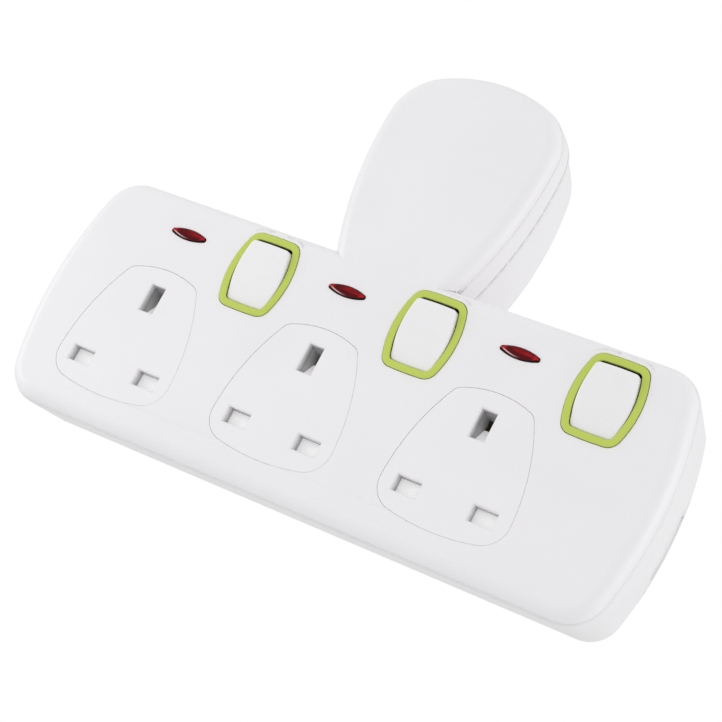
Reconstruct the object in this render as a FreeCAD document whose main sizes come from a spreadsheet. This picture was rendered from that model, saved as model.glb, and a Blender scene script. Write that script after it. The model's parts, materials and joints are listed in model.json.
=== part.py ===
import FreeCAD, Part
import Sketcher
import math
import os
from dataclasses import dataclass, replace

# A plug-through mains adaptor: a long bar with three switched 13 A sockets hangs below a rounded
# plug head, and the plug head pushes straight into a wall socket.
# Frame: X to the right as seen from the front, Y into the wall, Z up. The origin lies on the plug
# face, midway between the live and the neutral pin. "Height" in this file means millimetres in
# front of the plug face, so a point at height h lies at y = -h.

SIZES = {
    # case as a whole
    "case_depth": 33.0,
    "parting": 20.8,
    "bar_parting": 8.0,
    "parting_gap": 0.12,
    "edge_round": 4.0,
    "neck": 0.5,
    "ledge": 0.45,
    "ledge_slope": 0.35,
    "face_wall": 2.4,
    "side_wall": 2.2,
    "floor_wall": 2.2,
    "plug_wall": 2.5,
    "rim_height": 1.4,
    "rim_step": 0.35,
    "lip_height": 1.8,
    "lip_wall": 1.1,
    "lip_gap": 0.15,
    # bar
    "bar_half_length": 95.9,
    "bar_end_radius": 110.0,
    "bar_top": -21.5,
    "bar_bottom": -92.5,
    "bar_corner": 11.0,
    "bar_draft": 0.133,
    "end_draft": 0.071,
    "bar_back": 5.0,
    "bar_back_round": 2.2,
    "stock": 1.0,
    "notch_line": -60.1,
    "notch_width": 18.4,
    "notch_height": 3.2,
    "notch_deep": 0.9,
    # plug head, front outline
    "head_half_width": 26.5,
    "head_side_radius": 116.4,
    "head_side_level": 20.1,
    "head_top": 42.0,
    "head_top_radius": 42.9,
    "head_corner": 16.5,
    "head_foot": -31.5,
    "head_fold": -21.5,
    "head_slope": 0.048,
    # plug head, outline at the plug face
    "plug_half_width": 25.55,
    "plug_side_radius": 94.0,
    "plug_side_level": 8.5,
    "plug_top": 40.5,
    "plug_top_radius": 42.0,
    "plug_corner": 18.0,
    "plug_foot": -27.0,
    "plug_back_round": 4.5,
    "neck_room": 14.8,
    # sockets
    "socket_pitch": 52.86,
    "socket_offset": -8.45,
    "socket_line": -76.0,
    "pin_half_spacing": 11.1,
    "earth_rise": 22.2,
    "insert_half_width": 18.85,
    "insert_side_radius": 63.0,
    "insert_side_level": -1.0,
    "insert_top": 31.4,
    "insert_top_radius": 28.0,
    "insert_top_corner": 3.5,
    "insert_bottom": -8.6,
    "insert_bottom_radius": 62.0,
    "insert_bottom_corner": 7.5,
    "insert_thick": 3.3,
    "insert_gap": 0.14,
    "flange": 1.2,
    "arris": 0.18,
    "power_hole_width": 7.0,
    "power_hole_height": 4.5,
    "earth_hole_width": 4.5,
    "earth_hole_height": 8.25,
    "lead_in": 0.34,
    # shutters
    "shutter_thick": 2.0,
    "shutter_gap": 0.2,
    "shutter_half_width": 16.1,
    "shutter_low": -2.95,
    "shutter_high": 2.75,
    "shutter_travel": 5.0,
    "rail_wall": 1.0,
    "rail_low": -6.0,
    "rail_high": 4.0,
    "rail_lip": 1.0,
    "rail_lip_thick": 0.6,
    "stop_inset": 1.0,
    "stop_width": 2.0,
    "stop_height": 1.4,
    "stem_half_width": 3.6,
    "stem_top": 17.9,
    "window_half_width": 1.9,
    "window_top": 15.0,
    "peg_low": 4.2,
    "peg_height": 1.2,
    "peg_half_width": 1.3,
    "ramp_half_width": 1.9,
    "ramp_start": 18.4,
    "ramp_end": 23.0,
    "ramp_depth": 3.6,
    "ramp_tip": 0.8,
    "coil_radius": 1.0,
    "coil_wire": 0.22,
    "coil_pitch": 1.9,
    "coil_gap": 0.1,
    "small_coil_pitch": 1.3,
    "small_coil_radius": 0.95,
    # switch bezels and rockers
    "switch_line": -36.4,
    "bezel_half_width": 9.65,
    "bezel_half_height": 11.8,
    "bezel_side_radius": 28.0,
    "bezel_end_radius": 90.0,
    "bezel_corner": 3.6,
    "bezel_band": 2.0,
    "bezel_proud": 0.35,
    "bezel_depth": 7.5,
    "bezel_gap": 0.18,
    "bezel_edge": 0.22,
    "land": 1.4,
    "rocker_gap": 0.28,
    "rocker_end_gap": 0.9,
    "rocker_rise": 0.8,
    "rocker_pivot_depth": 2.9,
    "rocker_skirt": 2.2,
    "rocker_wall": 1.6,
    "rocker_top_wall": 1.4,
    "rocker_edge": 0.45,
    "rocker_tilt": 8.5,
    "trunnion_radius": 1.3,
    "trunnion_length": 1.2,
    "running_gap": 0.06,
    "stem_radius": 2.8,
    "stem_length": 7.0,
    "bore_end": 1.5,
    "plunger_radius": 1.5,
    "plunger_reach": 10.7,
    "plunger_length": 6.4,
    "plunger_gap": 0.08,
    # switch contacts
    "strip": 0.8,
    "blade_half_width": 2.0,
    "blade_half_length": 6.8,
    "blade_rise": 0.1,
    "ear_radius": 0.65,
    "ear_reach": 3.5,
    "cheek_inner": 2.4,
    "cheek_half_width": 1.9,
    "pip_radius": 1.2,
    "pip_height": 0.8,
    "pip_offset": 5.6,
    "blade_gap": 0.05,
    "post_gap": 0.06,
    # neon lenses and lamps
    "lens_offset": 0.2,
    "lens_line": -32.6,
    "lens_half_length": 5.8,
    "lens_half_height": 1.65,
    "lens_tip": 0.7,
    "lens_proud": 0.5,
    "lens_edge": 0.62,
    "lens_gap": 0.1,
    "lens_flange": 1.0,
    "lens_flange_thick": 1.0,
    "lamp_radius": 1.8,
    "lamp_length": 9.0,
    "lamp_gap": 0.1,
    "cradle_half_length": 4.0,
    "cradle_depth": 2.6,
    # conductors
    "neutral_layer": 7.6,
    "earth_layer": 9.3,
    "live_layer": 11.4,
    "bus_width": 4.0,
    "neutral_line": -84.2,
    "live_line": -30.8,
    "earth_drop": -15.8,
    "earth_neck": -4.5,
    "earth_jog": -10.0,
    "earth_bus_half": 3.5,
    "support_radius": 1.5,
    "side_support_x": 18.2,
    "side_support_z": 6.0,
    "top_support_z": 31.0,
    "hold_down_shift": 4.5,
    "live_hold_z": -66.0,
    "neutral_hold_z": -39.5,
    "neutral_run_x": -12.2,
    "neutral_neck_z": -8.0,
    "live_hold_shift": 12.5,
    "clip_half_width": 3.0,
    "clip_half_gap": 2.15,
    "clip_top": 26.3,
    "earth_clip_top": 24.4,
    "link_half_width": 2.2,
    # plug pins
    "pin_width": 6.35,
    "pin_thick": 4.0,
    "pin_length": 17.7,
    "earth_pin_width": 4.0,
    "earth_pin_height": 8.0,
    "earth_pin_length": 22.7,
    "pin_tip": 1.2,
    "pin_gap": 0.08,
    "pin_head": 1.3,
    "pin_head_thick": 1.3,
    "sleeve_length": 9.0,
    "sleeve_wall": 0.5,
    # fuse
    "fuse_line": 10.5,
    "fuse_length": 25.4,
    "fuse_radius": 3.18,
    "fuse_cap": 6.0,
    "fuse_waist": 0.25,
    "fuse_gap": 0.12,
    "fuse_clip_inset": 0.3,
    "fuse_clip_width": 3.0,
    "fuse_clip_deep": 5.0,
    "carrier_gap": 0.2,
    "carrier_margin": 1.4,
    "carrier_thick": 2.2,
    "carrier_rail": 0.8,
    "carrier_rail_half_length": 6.0,
    "carrier_rail_height": 4.6,
    "carrier_slot_width": 8.0,
    "carrier_slot_height": 1.2,
    # screws and their posts
    "screw_radius": 1.45,
    "screw_head_radius": 2.8,
    "screw_head": 2.0,
    "screw_length": 14.0,
    "screw_drive": 0.9,
    "post_radius": 3.8,
    "post_top": 11.0,
    "boss_radius": 3.0,
    "screw_clear": 0.2,
    "seat_height": 8.2,
    "bar_screw_x": 84.9,
    "bar_screw_up": 23.0,
    "head_screw_x": 13.6,
    "head_screw_z": 32.0,
}


class Size:
    """A length that knows its value and the spreadsheet expression it comes from."""

    def __init__(self, value, text):
        self.value = value
        self.text = text

    @staticmethod
    def of(other):
        return other if isinstance(other, Size) else Size(float(other), repr(float(other)))

    def joined(self, other, sign, value):
        return Size(value, f"({self.text} {sign} {Size.of(other).text})")

    def __add__(self, other):
        return self.joined(other, "+", self.value + Size.of(other).value)

    def __radd__(self, other):
        return Size.of(other) + self

    def __sub__(self, other):
        return self.joined(other, "-", self.value - Size.of(other).value)

    def __rsub__(self, other):
        return Size.of(other) - self

    def __mul__(self, other):
        return self.joined(other, "*", self.value * Size.of(other).value)

    def __rmul__(self, other):
        return Size.of(other) * self

    def __truediv__(self, other):
        return self.joined(other, "/", self.value / Size.of(other).value)

    def __neg__(self):
        return Size(-self.value, f"(0 - {self.text})")


doc = FreeCAD.newDocument("adaptor")
sheet = doc.addObject("Spreadsheet::Sheet", "Sizes")
for row, (alias, number) in enumerate(SIZES.items(), 1):
    sheet.set(f"A{row}", alias)
    sheet.set(f"B{row}", str(number))
    sheet.setAlias(f"B{row}", alias)
doc.recompute()
S = {alias: Size(number, f"Sizes.{alias}") for alias, number in SIZES.items()}
ZERO = Size.of(0)
pieces = []


def piece(feature, name):
    """Give a finished feature the name that its file gets."""
    feature.Label = name
    pieces.append(feature)
    return feature


def bind(target, path, size):
    target.setExpression(path, Size.of(size).text)


# Outlines


@dataclass(frozen=True)
class Outline:
    """A closed loop, the same on both sides of centre_x: two bowed sides, a top and a foot that are
    bowed or flat, and a tangent arc in each corner. A foot corner of None is sharp."""

    centre_x: Size
    half_width: Size
    side_radius: Size
    side_level: Size
    top: Size
    foot: Size
    top_corner: Size
    foot_corner: Size = None
    top_radius: Size = None
    foot_radius: Size = None

    def grown(self, by):
        """The same loop, offset outwards."""
        wider = {"half_width": self.half_width + by, "side_radius": self.side_radius + by}
        wider.update(top=self.top + by, foot=self.foot - by, top_corner=self.top_corner + by)
        for name in ("foot_corner", "top_radius", "foot_radius"):
            if getattr(self, name) is not None:
                wider[name] = getattr(self, name) + by
        return replace(self, **wider)

    def side_x(self, side):
        return self.centre_x + side * (self.half_width - self.side_radius)

    def corner(self, side, upward):
        """Centre of a corner arc, or the corner point itself where the corner is sharp."""
        radius = self.top_corner if upward > 0 else self.foot_corner
        bow = self.top_radius if upward > 0 else self.foot_radius
        end = (self.top if upward > 0 else self.foot).value
        inset = radius.value if radius else 0.0
        from_side = self.side_radius.value - inset
        side_x = self.side_x(side).value
        side_z = self.side_level.value
        if bow is None:
            z = end - upward * inset
            return side_x + side * math.sqrt(from_side**2 - (z - side_z) ** 2), z
        bow_x = self.centre_x.value
        bow_z = end - upward * bow.value
        from_bow = bow.value - inset
        gap = math.hypot(bow_x - side_x, bow_z - side_z)
        along = (from_side**2 - from_bow**2 + gap**2) / (2 * gap)
        across = math.sqrt(from_side**2 - along**2)
        ux, uz = (bow_x - side_x) / gap, (bow_z - side_z) / gap
        spots = [
            (side_x + ux * along - uz * across * way, side_z + uz * along + ux * across * way)
            for way in (1, -1)
        ]
        return max(spots, key=lambda spot: side * spot[0] + upward * spot[1])

    def draw(self, sketch):
        ways = ((1, 1), (-1, 1), (-1, -1), (1, -1))
        right_up, left_up, left_down, right_down = (self.corner(*way) for way in ways)
        right = (self.side_x(1).value, self.side_level.value)
        left = (self.side_x(-1).value, self.side_level.value)
        top = self.end_centre(1)
        foot = self.end_centre(-1)
        items = [
            Bow(right, self.side_radius, (self.side_x(1), self.side_level)),
            Bow(right_up, self.top_corner),
            self.end_item(1, top),
            Bow(left_up, self.top_corner),
            Bow(left, self.side_radius, (self.side_x(-1), self.side_level)),
        ]
        if self.foot_corner is None:
            items.append(Straight(self.foot, left_down, right_down))
        else:
            items.append(Bow(left_down, self.foot_corner))
            items.append(self.end_item(-1, foot))
            items.append(Bow(right_down, self.foot_corner))
        draw_loop(sketch, items)

    def end_centre(self, upward):
        bow = self.top_radius if upward > 0 else self.foot_radius
        if bow is None:
            return None
        return self.centre_x, (self.top - bow) if upward > 0 else (self.foot + bow)

    def end_item(self, upward, centre):
        if centre is None:
            spots = [self.corner(side, upward) for side in (upward, -upward)]
            return Straight(self.top if upward > 0 else self.foot, *spots, smooth=upward)
        radius = self.top_radius if upward > 0 else self.foot_radius
        return Bow((centre[0].value, centre[1].value), radius, centre)


@dataclass
class Bow:
    """An arc of a loop. Its centre is bound only where the outline places it."""

    centre: tuple
    radius: Size
    placed: tuple = None


@dataclass
class Straight:
    """A level stretch of a loop at a given z. smooth is the side that its corners round off to."""

    level: Size
    start: tuple
    end: tuple
    smooth: int = 0


def joint_angle(one, other):
    """Direction of the outward normal where two neighbours of a loop touch."""
    if isinstance(one, Straight):
        return math.copysign(math.pi / 2, one.smooth)
    if isinstance(other, Straight):
        return math.copysign(math.pi / 2, other.smooth)
    big, small = (one, other) if one.radius.value > other.radius.value else (other, one)
    return math.atan2(small.centre[1] - big.centre[1], small.centre[0] - big.centre[0])


def on_arc(bow, angle):
    return (
        bow.centre[0] + bow.radius.value * math.cos(angle),
        bow.centre[1] + bow.radius.value * math.sin(angle),
    )


def point_angle(bow, spot):
    return math.atan2(spot[1] - bow.centre[1], spot[0] - bow.centre[0])


def draw_loop(sketch, items):
    """Draw a counter-clockwise loop of arcs and level lines and tie it to the sheet."""
    first = sketch.GeometryCount
    count = len(items)
    for index, item in enumerate(items):
        before = items[index - 1]
        after = items[(index + 1) % count]
        if isinstance(item, Straight):
            start, end = item.start, item.end
            if item.smooth:
                start = on_arc(before, joint_angle(before, item))
                end = on_arc(after, joint_angle(item, after))
            line = Part.LineSegment(FreeCAD.Vector(*start, 0), FreeCAD.Vector(*end, 0))
            sketch.addGeometry(line, False)
            continue
        sharp_before = isinstance(before, Straight) and not before.smooth
        sharp_after = isinstance(after, Straight) and not after.smooth
        begin = point_angle(item, before.end) if sharp_before else joint_angle(before, item)
        finish = point_angle(item, after.start) if sharp_after else joint_angle(item, after)
        if finish < begin:
            finish += 2 * math.pi
        circle = Part.Circle(FreeCAD.Vector(*item.centre, 0), FreeCAD.Vector(0, 0, 1), item.radius.value)
        sketch.addGeometry(Part.ArcOfCircle(circle, begin, finish), False)
    for index, item in enumerate(items):
        here = first + index
        after = items[(index + 1) % count]
        following = first + (index + 1) % count
        sharp = any(isinstance(one, Straight) and not one.smooth for one in (item, after))
        kind = "Coincident" if sharp else "Tangent"
        sketch.addConstraint(Sketcher.Constraint(kind, here, 2, following, 1))
        if isinstance(item, Straight):
            sketch.addConstraint(Sketcher.Constraint("Horizontal", here))
            hold(sketch, "DistanceY", (-1, 1, here, 1), item.level)
            continue
        hold(sketch, "Radius", (here,), item.radius)
        if item.placed:
            hold(sketch, "DistanceX", (-1, 1, here, 3), item.placed[0])
            hold(sketch, "DistanceY", (-1, 1, here, 3), item.placed[1])


def hold(sketch, kind, where, size):
    """Add one measured constraint and bind it to the sheet."""
    size = Size.of(size)
    number = sketch.addConstraint(Sketcher.Constraint(kind, *where, size.value))
    bind(sketch, f"Constraints[{number}]", size)


@dataclass(frozen=True)
class Polygon:
    """A closed loop of straight lines through the given corners."""

    corners: tuple

    def draw(self, sketch):
        first = sketch.GeometryCount
        count = len(self.corners)
        spots = [FreeCAD.Vector(Size.of(x).value, Size.of(z).value, 0) for x, z in self.corners]
        for index in range(count):
            line = Part.LineSegment(spots[index], spots[(index + 1) % count])
            sketch.addGeometry(line, False)
        for index, (x, z) in enumerate(self.corners):
            ends = (first + index, 2, first + (index + 1) % count, 1)
            sketch.addConstraint(Sketcher.Constraint("Coincident", *ends))
            hold(sketch, "DistanceX", (-1, 1, first + index, 1), x)
            hold(sketch, "DistanceY", (-1, 1, first + index, 1), z)


def rectangle(left, right, low, high):
    return Polygon(((left, low), (right, low), (right, high), (left, high)))


def centred(x, z, half_width, half_height):
    return rectangle(x - half_width, x + half_width, z - half_height, z + half_height)


@dataclass(frozen=True)
class Ring:
    """A full circle."""

    x: Size
    z: Size
    radius: Size

    def draw(self, sketch):
        here = sketch.GeometryCount
        centre = FreeCAD.Vector(Size.of(self.x).value, Size.of(self.z).value, 0)
        circle = Part.Circle(centre, FreeCAD.Vector(0, 0, 1), Size.of(self.radius).value)
        sketch.addGeometry(circle, False)
        hold(sketch, "Radius", (here,), self.radius)
        hold(sketch, "DistanceX", (-1, 1, here, 3), self.x)
        hold(sketch, "DistanceY", (-1, 1, here, 3), self.z)


@dataclass(frozen=True)
class Almond:
    """A pointed oval about the sketch's origin: two long arcs closed by two small round tips."""

    half_length: Size
    half_height: Size
    tip: Size

    def grown(self, by):
        return Almond(self.half_length + by, self.half_height + by, self.tip + by)

    def draw(self, sketch):
        reach = self.half_length - self.tip
        spare = self.half_height - self.tip
        squares = reach * reach + self.half_height * self.half_height - self.tip * self.tip
        radius = squares / (2 * spare)
        drop = radius.value - self.half_height.value
        tips = [Bow((side * reach.value, 0.0), self.tip, (side * reach, ZERO)) for side in (1, -1)]
        draw_loop(sketch, [tips[0], Bow((0.0, -drop), radius), tips[1], Bow((0.0, drop), radius)])


# Bodies and features


def new_body(name):
    return doc.addObject("PartDesign::Body", name)


def new_sketch(body, shapes, lift, plane="XZ_Plane"):
    """A sketch on one of the body's own origin planes, lifted along the plane's normal."""
    sketch = body.newObject("Sketcher::SketchObject", f"{body.Name}_sketch")
    base = next(one for one in body.Origin.OriginFeatures if one.Role == plane)
    sketch.AttachmentSupport = (base, [""])
    sketch.MapMode = "FlatFace"
    bind(sketch, "AttachmentOffset.Base.z", lift)
    for shape in shapes:
        shape.draw(sketch)
    return sketch


def listed(shapes):
    return list(shapes) if isinstance(shapes, (list, tuple)) else [shapes]


def pad(body, shapes, low, high):
    """Material between two heights."""
    sketch = new_sketch(body, listed(shapes), low)
    feature = body.newObject("PartDesign::Pad", f"{body.Name}_pad")
    feature.Profile = sketch
    bind(feature, "Length", high - low)
    return feature


def pocket(body, shapes, low, high):
    """A cut between two heights, made from the front inwards."""
    sketch = new_sketch(body, listed(shapes), high)
    feature = body.newObject("PartDesign::Pocket", f"{body.Name}_pocket")
    feature.Profile = sketch
    bind(feature, "Length", high - low)
    return feature


def cross_pad(body, shapes, width, cutting=False):
    """Material or a cut drawn on the YZ plane and spread evenly along X."""
    kind = "Pocket" if cutting else "Pad"
    sketch = new_sketch(body, listed(shapes), ZERO, "YZ_Plane")
    feature = body.newObject(f"PartDesign::{kind}", f"{body.Name}_cross")
    feature.Profile = sketch
    feature.SideType = "Symmetric"
    bind(feature, "Length", width)
    return feature


def loft(body, low_shape, low, high_shape, high):
    """A straight-walled blend from one outline to another."""
    near = new_sketch(body, [low_shape], low)
    far = new_sketch(body, [high_shape], high)
    feature = body.newObject("PartDesign::AdditiveLoft", f"{body.Name}_loft")
    feature.Profile = near
    feature.Sections = [(far, [""])]
    feature.Ruled = True
    return feature


def edges_at(feature, height, keep=None):
    """Names of the edges that lie flat at a height, or those of them that keep accepts."""
    doc.recompute()
    names = []
    for number, edge in enumerate(feature.Shape.Edges, 1):
        box = edge.BoundBox
        flat = abs(box.YMin + height.value) < 1e-4 and abs(box.YMax + height.value) < 1e-4
        if flat and (keep is None or keep(edge)):
            names.append(f"Edge{number}")
    return names


def fillet(body, names, radius):
    base = body.Tip
    feature = body.newObject("PartDesign::Fillet", f"{body.Name}_fillet")
    feature.Base = (base, names)
    bind(feature, "Radius", radius)
    return feature


def chamfer(body, names, size):
    base = body.Tip
    feature = body.newObject("PartDesign::Chamfer", f"{body.Name}_chamfer")
    feature.Base = (base, names)
    bind(feature, "Size", size)
    return feature


def place(feature, x, height, z, turn=0.0):
    """Put a feature at a point and turn it about X, in degrees."""
    turned = FreeCAD.Rotation(FreeCAD.Vector(1, 0, 0), turn)
    feature.Placement = FreeCAD.Placement(FreeCAD.Vector(0, 0, 0), turned)
    bind(feature, "Placement.Base.x", x)
    bind(feature, "Placement.Base.y", -height)
    bind(feature, "Placement.Base.z", z)
    return feature


def block(name, left, right, low, high, bottom, top):
    """A Part box given by its sides, its heights and its ends along Z."""
    box = doc.addObject("Part::Box", name)
    bind(box, "Length", right - left)
    bind(box, "Width", high - low)
    bind(box, "Height", top - bottom)
    return place(box, left, high, bottom)


def rod(name, x, z, radius, low, high):
    """A Part cylinder that stands between two heights."""
    cylinder = doc.addObject("Part::Cylinder", name)
    bind(cylinder, "Radius", radius)
    bind(cylinder, "Height", high - low)
    return place(cylinder, x, low, z, turn=90.0)


def fused(name, shapes):
    feature = doc.addObject("Part::MultiFuse", name)
    feature.Shapes = shapes
    return feature


def cut(name, base, tools):
    feature = doc.addObject("Part::Cut", name)
    feature.Base = base
    feature.Tool = tools[0] if len(tools) == 1 else fused(f"{name}_tools", tools)
    return feature


# Places that repeat


def socket_x(index):
    return S["socket_offset"] + (index - 2) * S["socket_pitch"]


def switch_x(index):
    return socket_x(index) + S["socket_pitch"] / 2


def lens_x(index):
    return socket_x(index) + S["lens_offset"]


NUMBERS = (1, 2, 3)
FACE = S["case_depth"]
CAP_BASE = FACE - S["edge_round"] - S["neck"]
INNER_FACE = FACE - S["face_wall"]
SCREWS = [
    (side * S["bar_screw_x"], (S["bar_top"] + S["bar_bottom"]) / 2 + end * S["bar_screw_up"])
    for side in (-1, 1)
    for end in (-1, 1)
]
HEAD_SCREWS = [(side * S["head_screw_x"], S["head_screw_z"]) for side in (-1, 1)]

bar = Outline(
    centre_x=ZERO,
    half_width=S["bar_half_length"],
    side_radius=S["bar_end_radius"],
    side_level=(S["bar_top"] + S["bar_bottom"]) / 2,
    top=S["bar_top"],
    foot=S["bar_bottom"],
    top_corner=S["bar_corner"],
    foot_corner=S["bar_corner"],
)
head = Outline(
    centre_x=ZERO,
    half_width=S["head_half_width"],
    side_radius=S["head_side_radius"],
    side_level=S["head_side_level"],
    top=S["head_top"],
    foot=S["head_foot"],
    top_corner=S["head_corner"],
    top_radius=S["head_top_radius"],
)
plug = Outline(
    centre_x=ZERO,
    half_width=S["plug_half_width"],
    side_radius=S["plug_side_radius"],
    side_level=S["plug_side_level"],
    top=S["plug_top"],
    foot=S["plug_foot"],
    top_corner=S["plug_corner"],
    top_radius=S["plug_top_radius"],
)
insert = Outline(
    centre_x=ZERO,
    half_width=S["insert_half_width"],
    side_radius=S["insert_side_radius"],
    side_level=S["insert_side_level"],
    top=S["insert_top"],
    foot=S["insert_bottom"],
    top_corner=S["insert_top_corner"],
    foot_corner=S["insert_bottom_corner"],
    top_radius=S["insert_top_radius"],
    foot_radius=S["insert_bottom_radius"],
)
bezel = Outline(
    centre_x=ZERO,
    half_width=S["bezel_half_width"],
    side_radius=S["bezel_side_radius"],
    side_level=ZERO,
    top=S["bezel_half_height"],
    foot=-S["bezel_half_height"],
    top_corner=S["bezel_corner"],
    foot_corner=S["bezel_corner"],
    top_radius=S["bezel_end_radius"],
    foot_radius=S["bezel_end_radius"],
)
well = bezel.grown(-S["bezel_band"])
lens = Almond(S["lens_half_length"], S["lens_half_height"], S["lens_tip"])


def bar_at(height, inset=ZERO):
    """The bar's outline at a height below the ledge: it narrows towards the back, least at its ends."""
    depth = CAP_BASE - height
    level = bar.grown(S["ledge"] - S["bar_draft"] * depth - inset)
    return replace(level, half_width=bar.half_width + S["ledge"] - S["end_draft"] * depth - inset)


def edges_on_slope(feature, height):
    """Names of the edges on the leaning plane through the fold at a height, but for the foot."""
    doc.recompute()
    names = []
    for number, edge in enumerate(feature.Shape.Edges, 1):
        spots = [vertex.Point for vertex in edge.Vertexes] + [edge.valueAt(edge.FirstParameter)]
        rises = [height.value - S["head_slope"].value * (spot.z - S["head_fold"].value) for spot in spots]
        on_plane = all(abs(-spot.y - rise) < 1e-4 for spot, rise in zip(spots, rises))
        level = edge.BoundBox.ZMax - edge.BoundBox.ZMin < 1e-4
        if on_plane and not (level and edge.BoundBox.ZMax < S["head_fold"].value):
            names.append(f"Edge{number}")
    return names


# Front cover


def bar_cap(name, front, rounding, inset=None):
    """The bar of the cover: a rounded cap on a leaning skirt, or with an inset the hollow in them."""
    body = new_body(name)
    low = S["bar_parting"] + S["parting_gap"]
    if inset is None:
        corner = CAP_BASE - S["ledge_slope"]
        loft(body, bar_at(low), low, bar_at(corner), corner)
        loft(body, bar_at(corner), corner, bar.grown(S["ledge"] - S["ledge_slope"]), CAP_BASE)
        cap = pad(body, bar, CAP_BASE, front)
    else:
        cap = loft(body, bar_at(low, S["ledge"] + inset), low, bar.grown(-inset), front)
    fillet(body, edges_at(cap, front), rounding)
    return body


def leaning_head(name, outline, front, rounding=None):
    """A block of the plug head whose front leans back from the fold up, flat below the fold. Its
    front edge is rounded, or sloped off where no rounding is given."""
    body = new_body(name)
    pad(body, outline, S["parting"] + S["parting_gap"], front + S["stock"])
    far = S["head_top"] + S["edge_round"]
    near = S["head_foot"] - S["edge_round"]

    def face_y(z):
        return -(front - S["head_slope"] * (z - S["head_fold"]))

    above = -(front + S["edge_round"])
    wedge = Polygon(((face_y(near), near), (above, near), (above, far), (face_y(far), far)))
    leaned = cross_pad(body, wedge, S["head_half_width"] * 3, cutting=True)
    if rounding:
        fillet(body, edges_on_slope(leaned, front), rounding)
    else:
        chamfer(body, edges_on_slope(leaned, front), S["ledge_slope"])
    wide = S["head_half_width"] * 2
    pocket(body, rectangle(-wide, wide, near, far), front, front + S["edge_round"])
    return body


def plug_block(name, gap=None):
    """The rear half of the plug head, or with a gap the room that the cover leaves for it."""
    body = new_body(name)
    spare = gap or ZERO
    rim_low = S["parting"] - S["rim_height"]
    narrow = head.grown(S["ledge"] - S["rim_step"] + spare)
    low = loft(body, plug.grown(spare), ZERO, narrow, rim_low)
    if gap is None:
        fillet(body, edges_at(low, ZERO), S["plug_back_round"])
    pad(body, head.grown(S["ledge"] + spare), rim_low - spare, S["parting"] + spare)
    return body


def front_cover():
    solids = [
        bar_cap("cover_bar", FACE, S["edge_round"]),
        leaning_head("cover_head_skirt", head.grown(S["ledge"]), CAP_BASE),
        leaning_head("cover_head", head, FACE, S["edge_round"]),
    ]
    for index in NUMBERS:
        land = new_body(f"cover_land_{index}")
        pad(land, bezel.grown(S["land"]), FACE - S["edge_round"], FACE)
        solids.append(place(land, switch_x(index), ZERO, S["switch_line"]))
    rounding = S["face_wall"] / 2
    hollows = [
        bar_cap("cover_bar_hollow", INNER_FACE, rounding, S["side_wall"]),
        leaning_head("cover_head_hollow", head.grown(-S["side_wall"]), INNER_FACE, rounding),
    ]
    hollows.append(plug_block("cover_throat", S["parting_gap"]))
    bosses = [cut("cover_shell", fused("cover_block", solids), hollows)]
    low = S["bar_parting"] + S["parting_gap"]
    high = low + S["notch_height"]
    keep = new_body("cover_notch_keep")
    under, over = low - S["stock"], high + S["stock"]
    loft(keep, bar_at(under, S["notch_deep"]), under, bar_at(over, S["notch_deep"]), over)
    far = S["bar_half_length"] + S["edge_round"]
    notch_foot = S["notch_line"] - S["notch_width"] / 2
    slab = block("cover_notch_slab", -far, far, under, high, notch_foot, notch_foot + S["notch_width"])
    holes = [cut("cover_notches", slab, [keep])]
    inside = INNER_FACE + S["face_wall"] / 3

    def reach(z):
        return inside if z.value < S["head_fold"].value else inside - S["head_slope"] * (z - S["head_fold"])

    for number, (x, z) in enumerate(SCREWS + HEAD_SCREWS, 1):
        bosses.append(rod(f"cover_boss_{number}", x, z, S["boss_radius"], S["post_top"], reach(z)))
        pilot = S["seat_height"] + S["screw_length"] + S["screw_clear"]
        holes.append(rod(f"cover_pilot_{number}", x, z, S["screw_radius"], S["post_top"], pilot))
    for number, (x, z, layer) in enumerate(HOLD_DOWNS, 1):
        low = layer + S["strip"]
        bosses.append(rod(f"cover_presser_{number}", x, z, S["support_radius"], low, reach(z)))
    low, high = FACE - S["edge_round"], FACE + S["stock"]
    for index in NUMBERS:
        hole = new_body(f"cover_insert_hole_{index}")
        pad(hole, insert.grown(S["insert_gap"]), low, high)
        holes.append(place(hole, socket_x(index), ZERO, S["socket_line"]))
        hole = new_body(f"cover_bezel_hole_{index}")
        pad(hole, bezel.grown(S["bezel_gap"]), low, high)
        holes.append(place(hole, switch_x(index), ZERO, S["switch_line"]))
        hole = new_body(f"cover_lens_hole_{index}")
        pad(hole, lens.grown(S["lens_gap"]), low, high)
        holes.append(place(hole, lens_x(index), ZERO, S["lens_line"]))
    return piece(cut("cover_finished", fused("cover_with_bosses", bosses), holes), "front_cover")


# Rear shell


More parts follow.
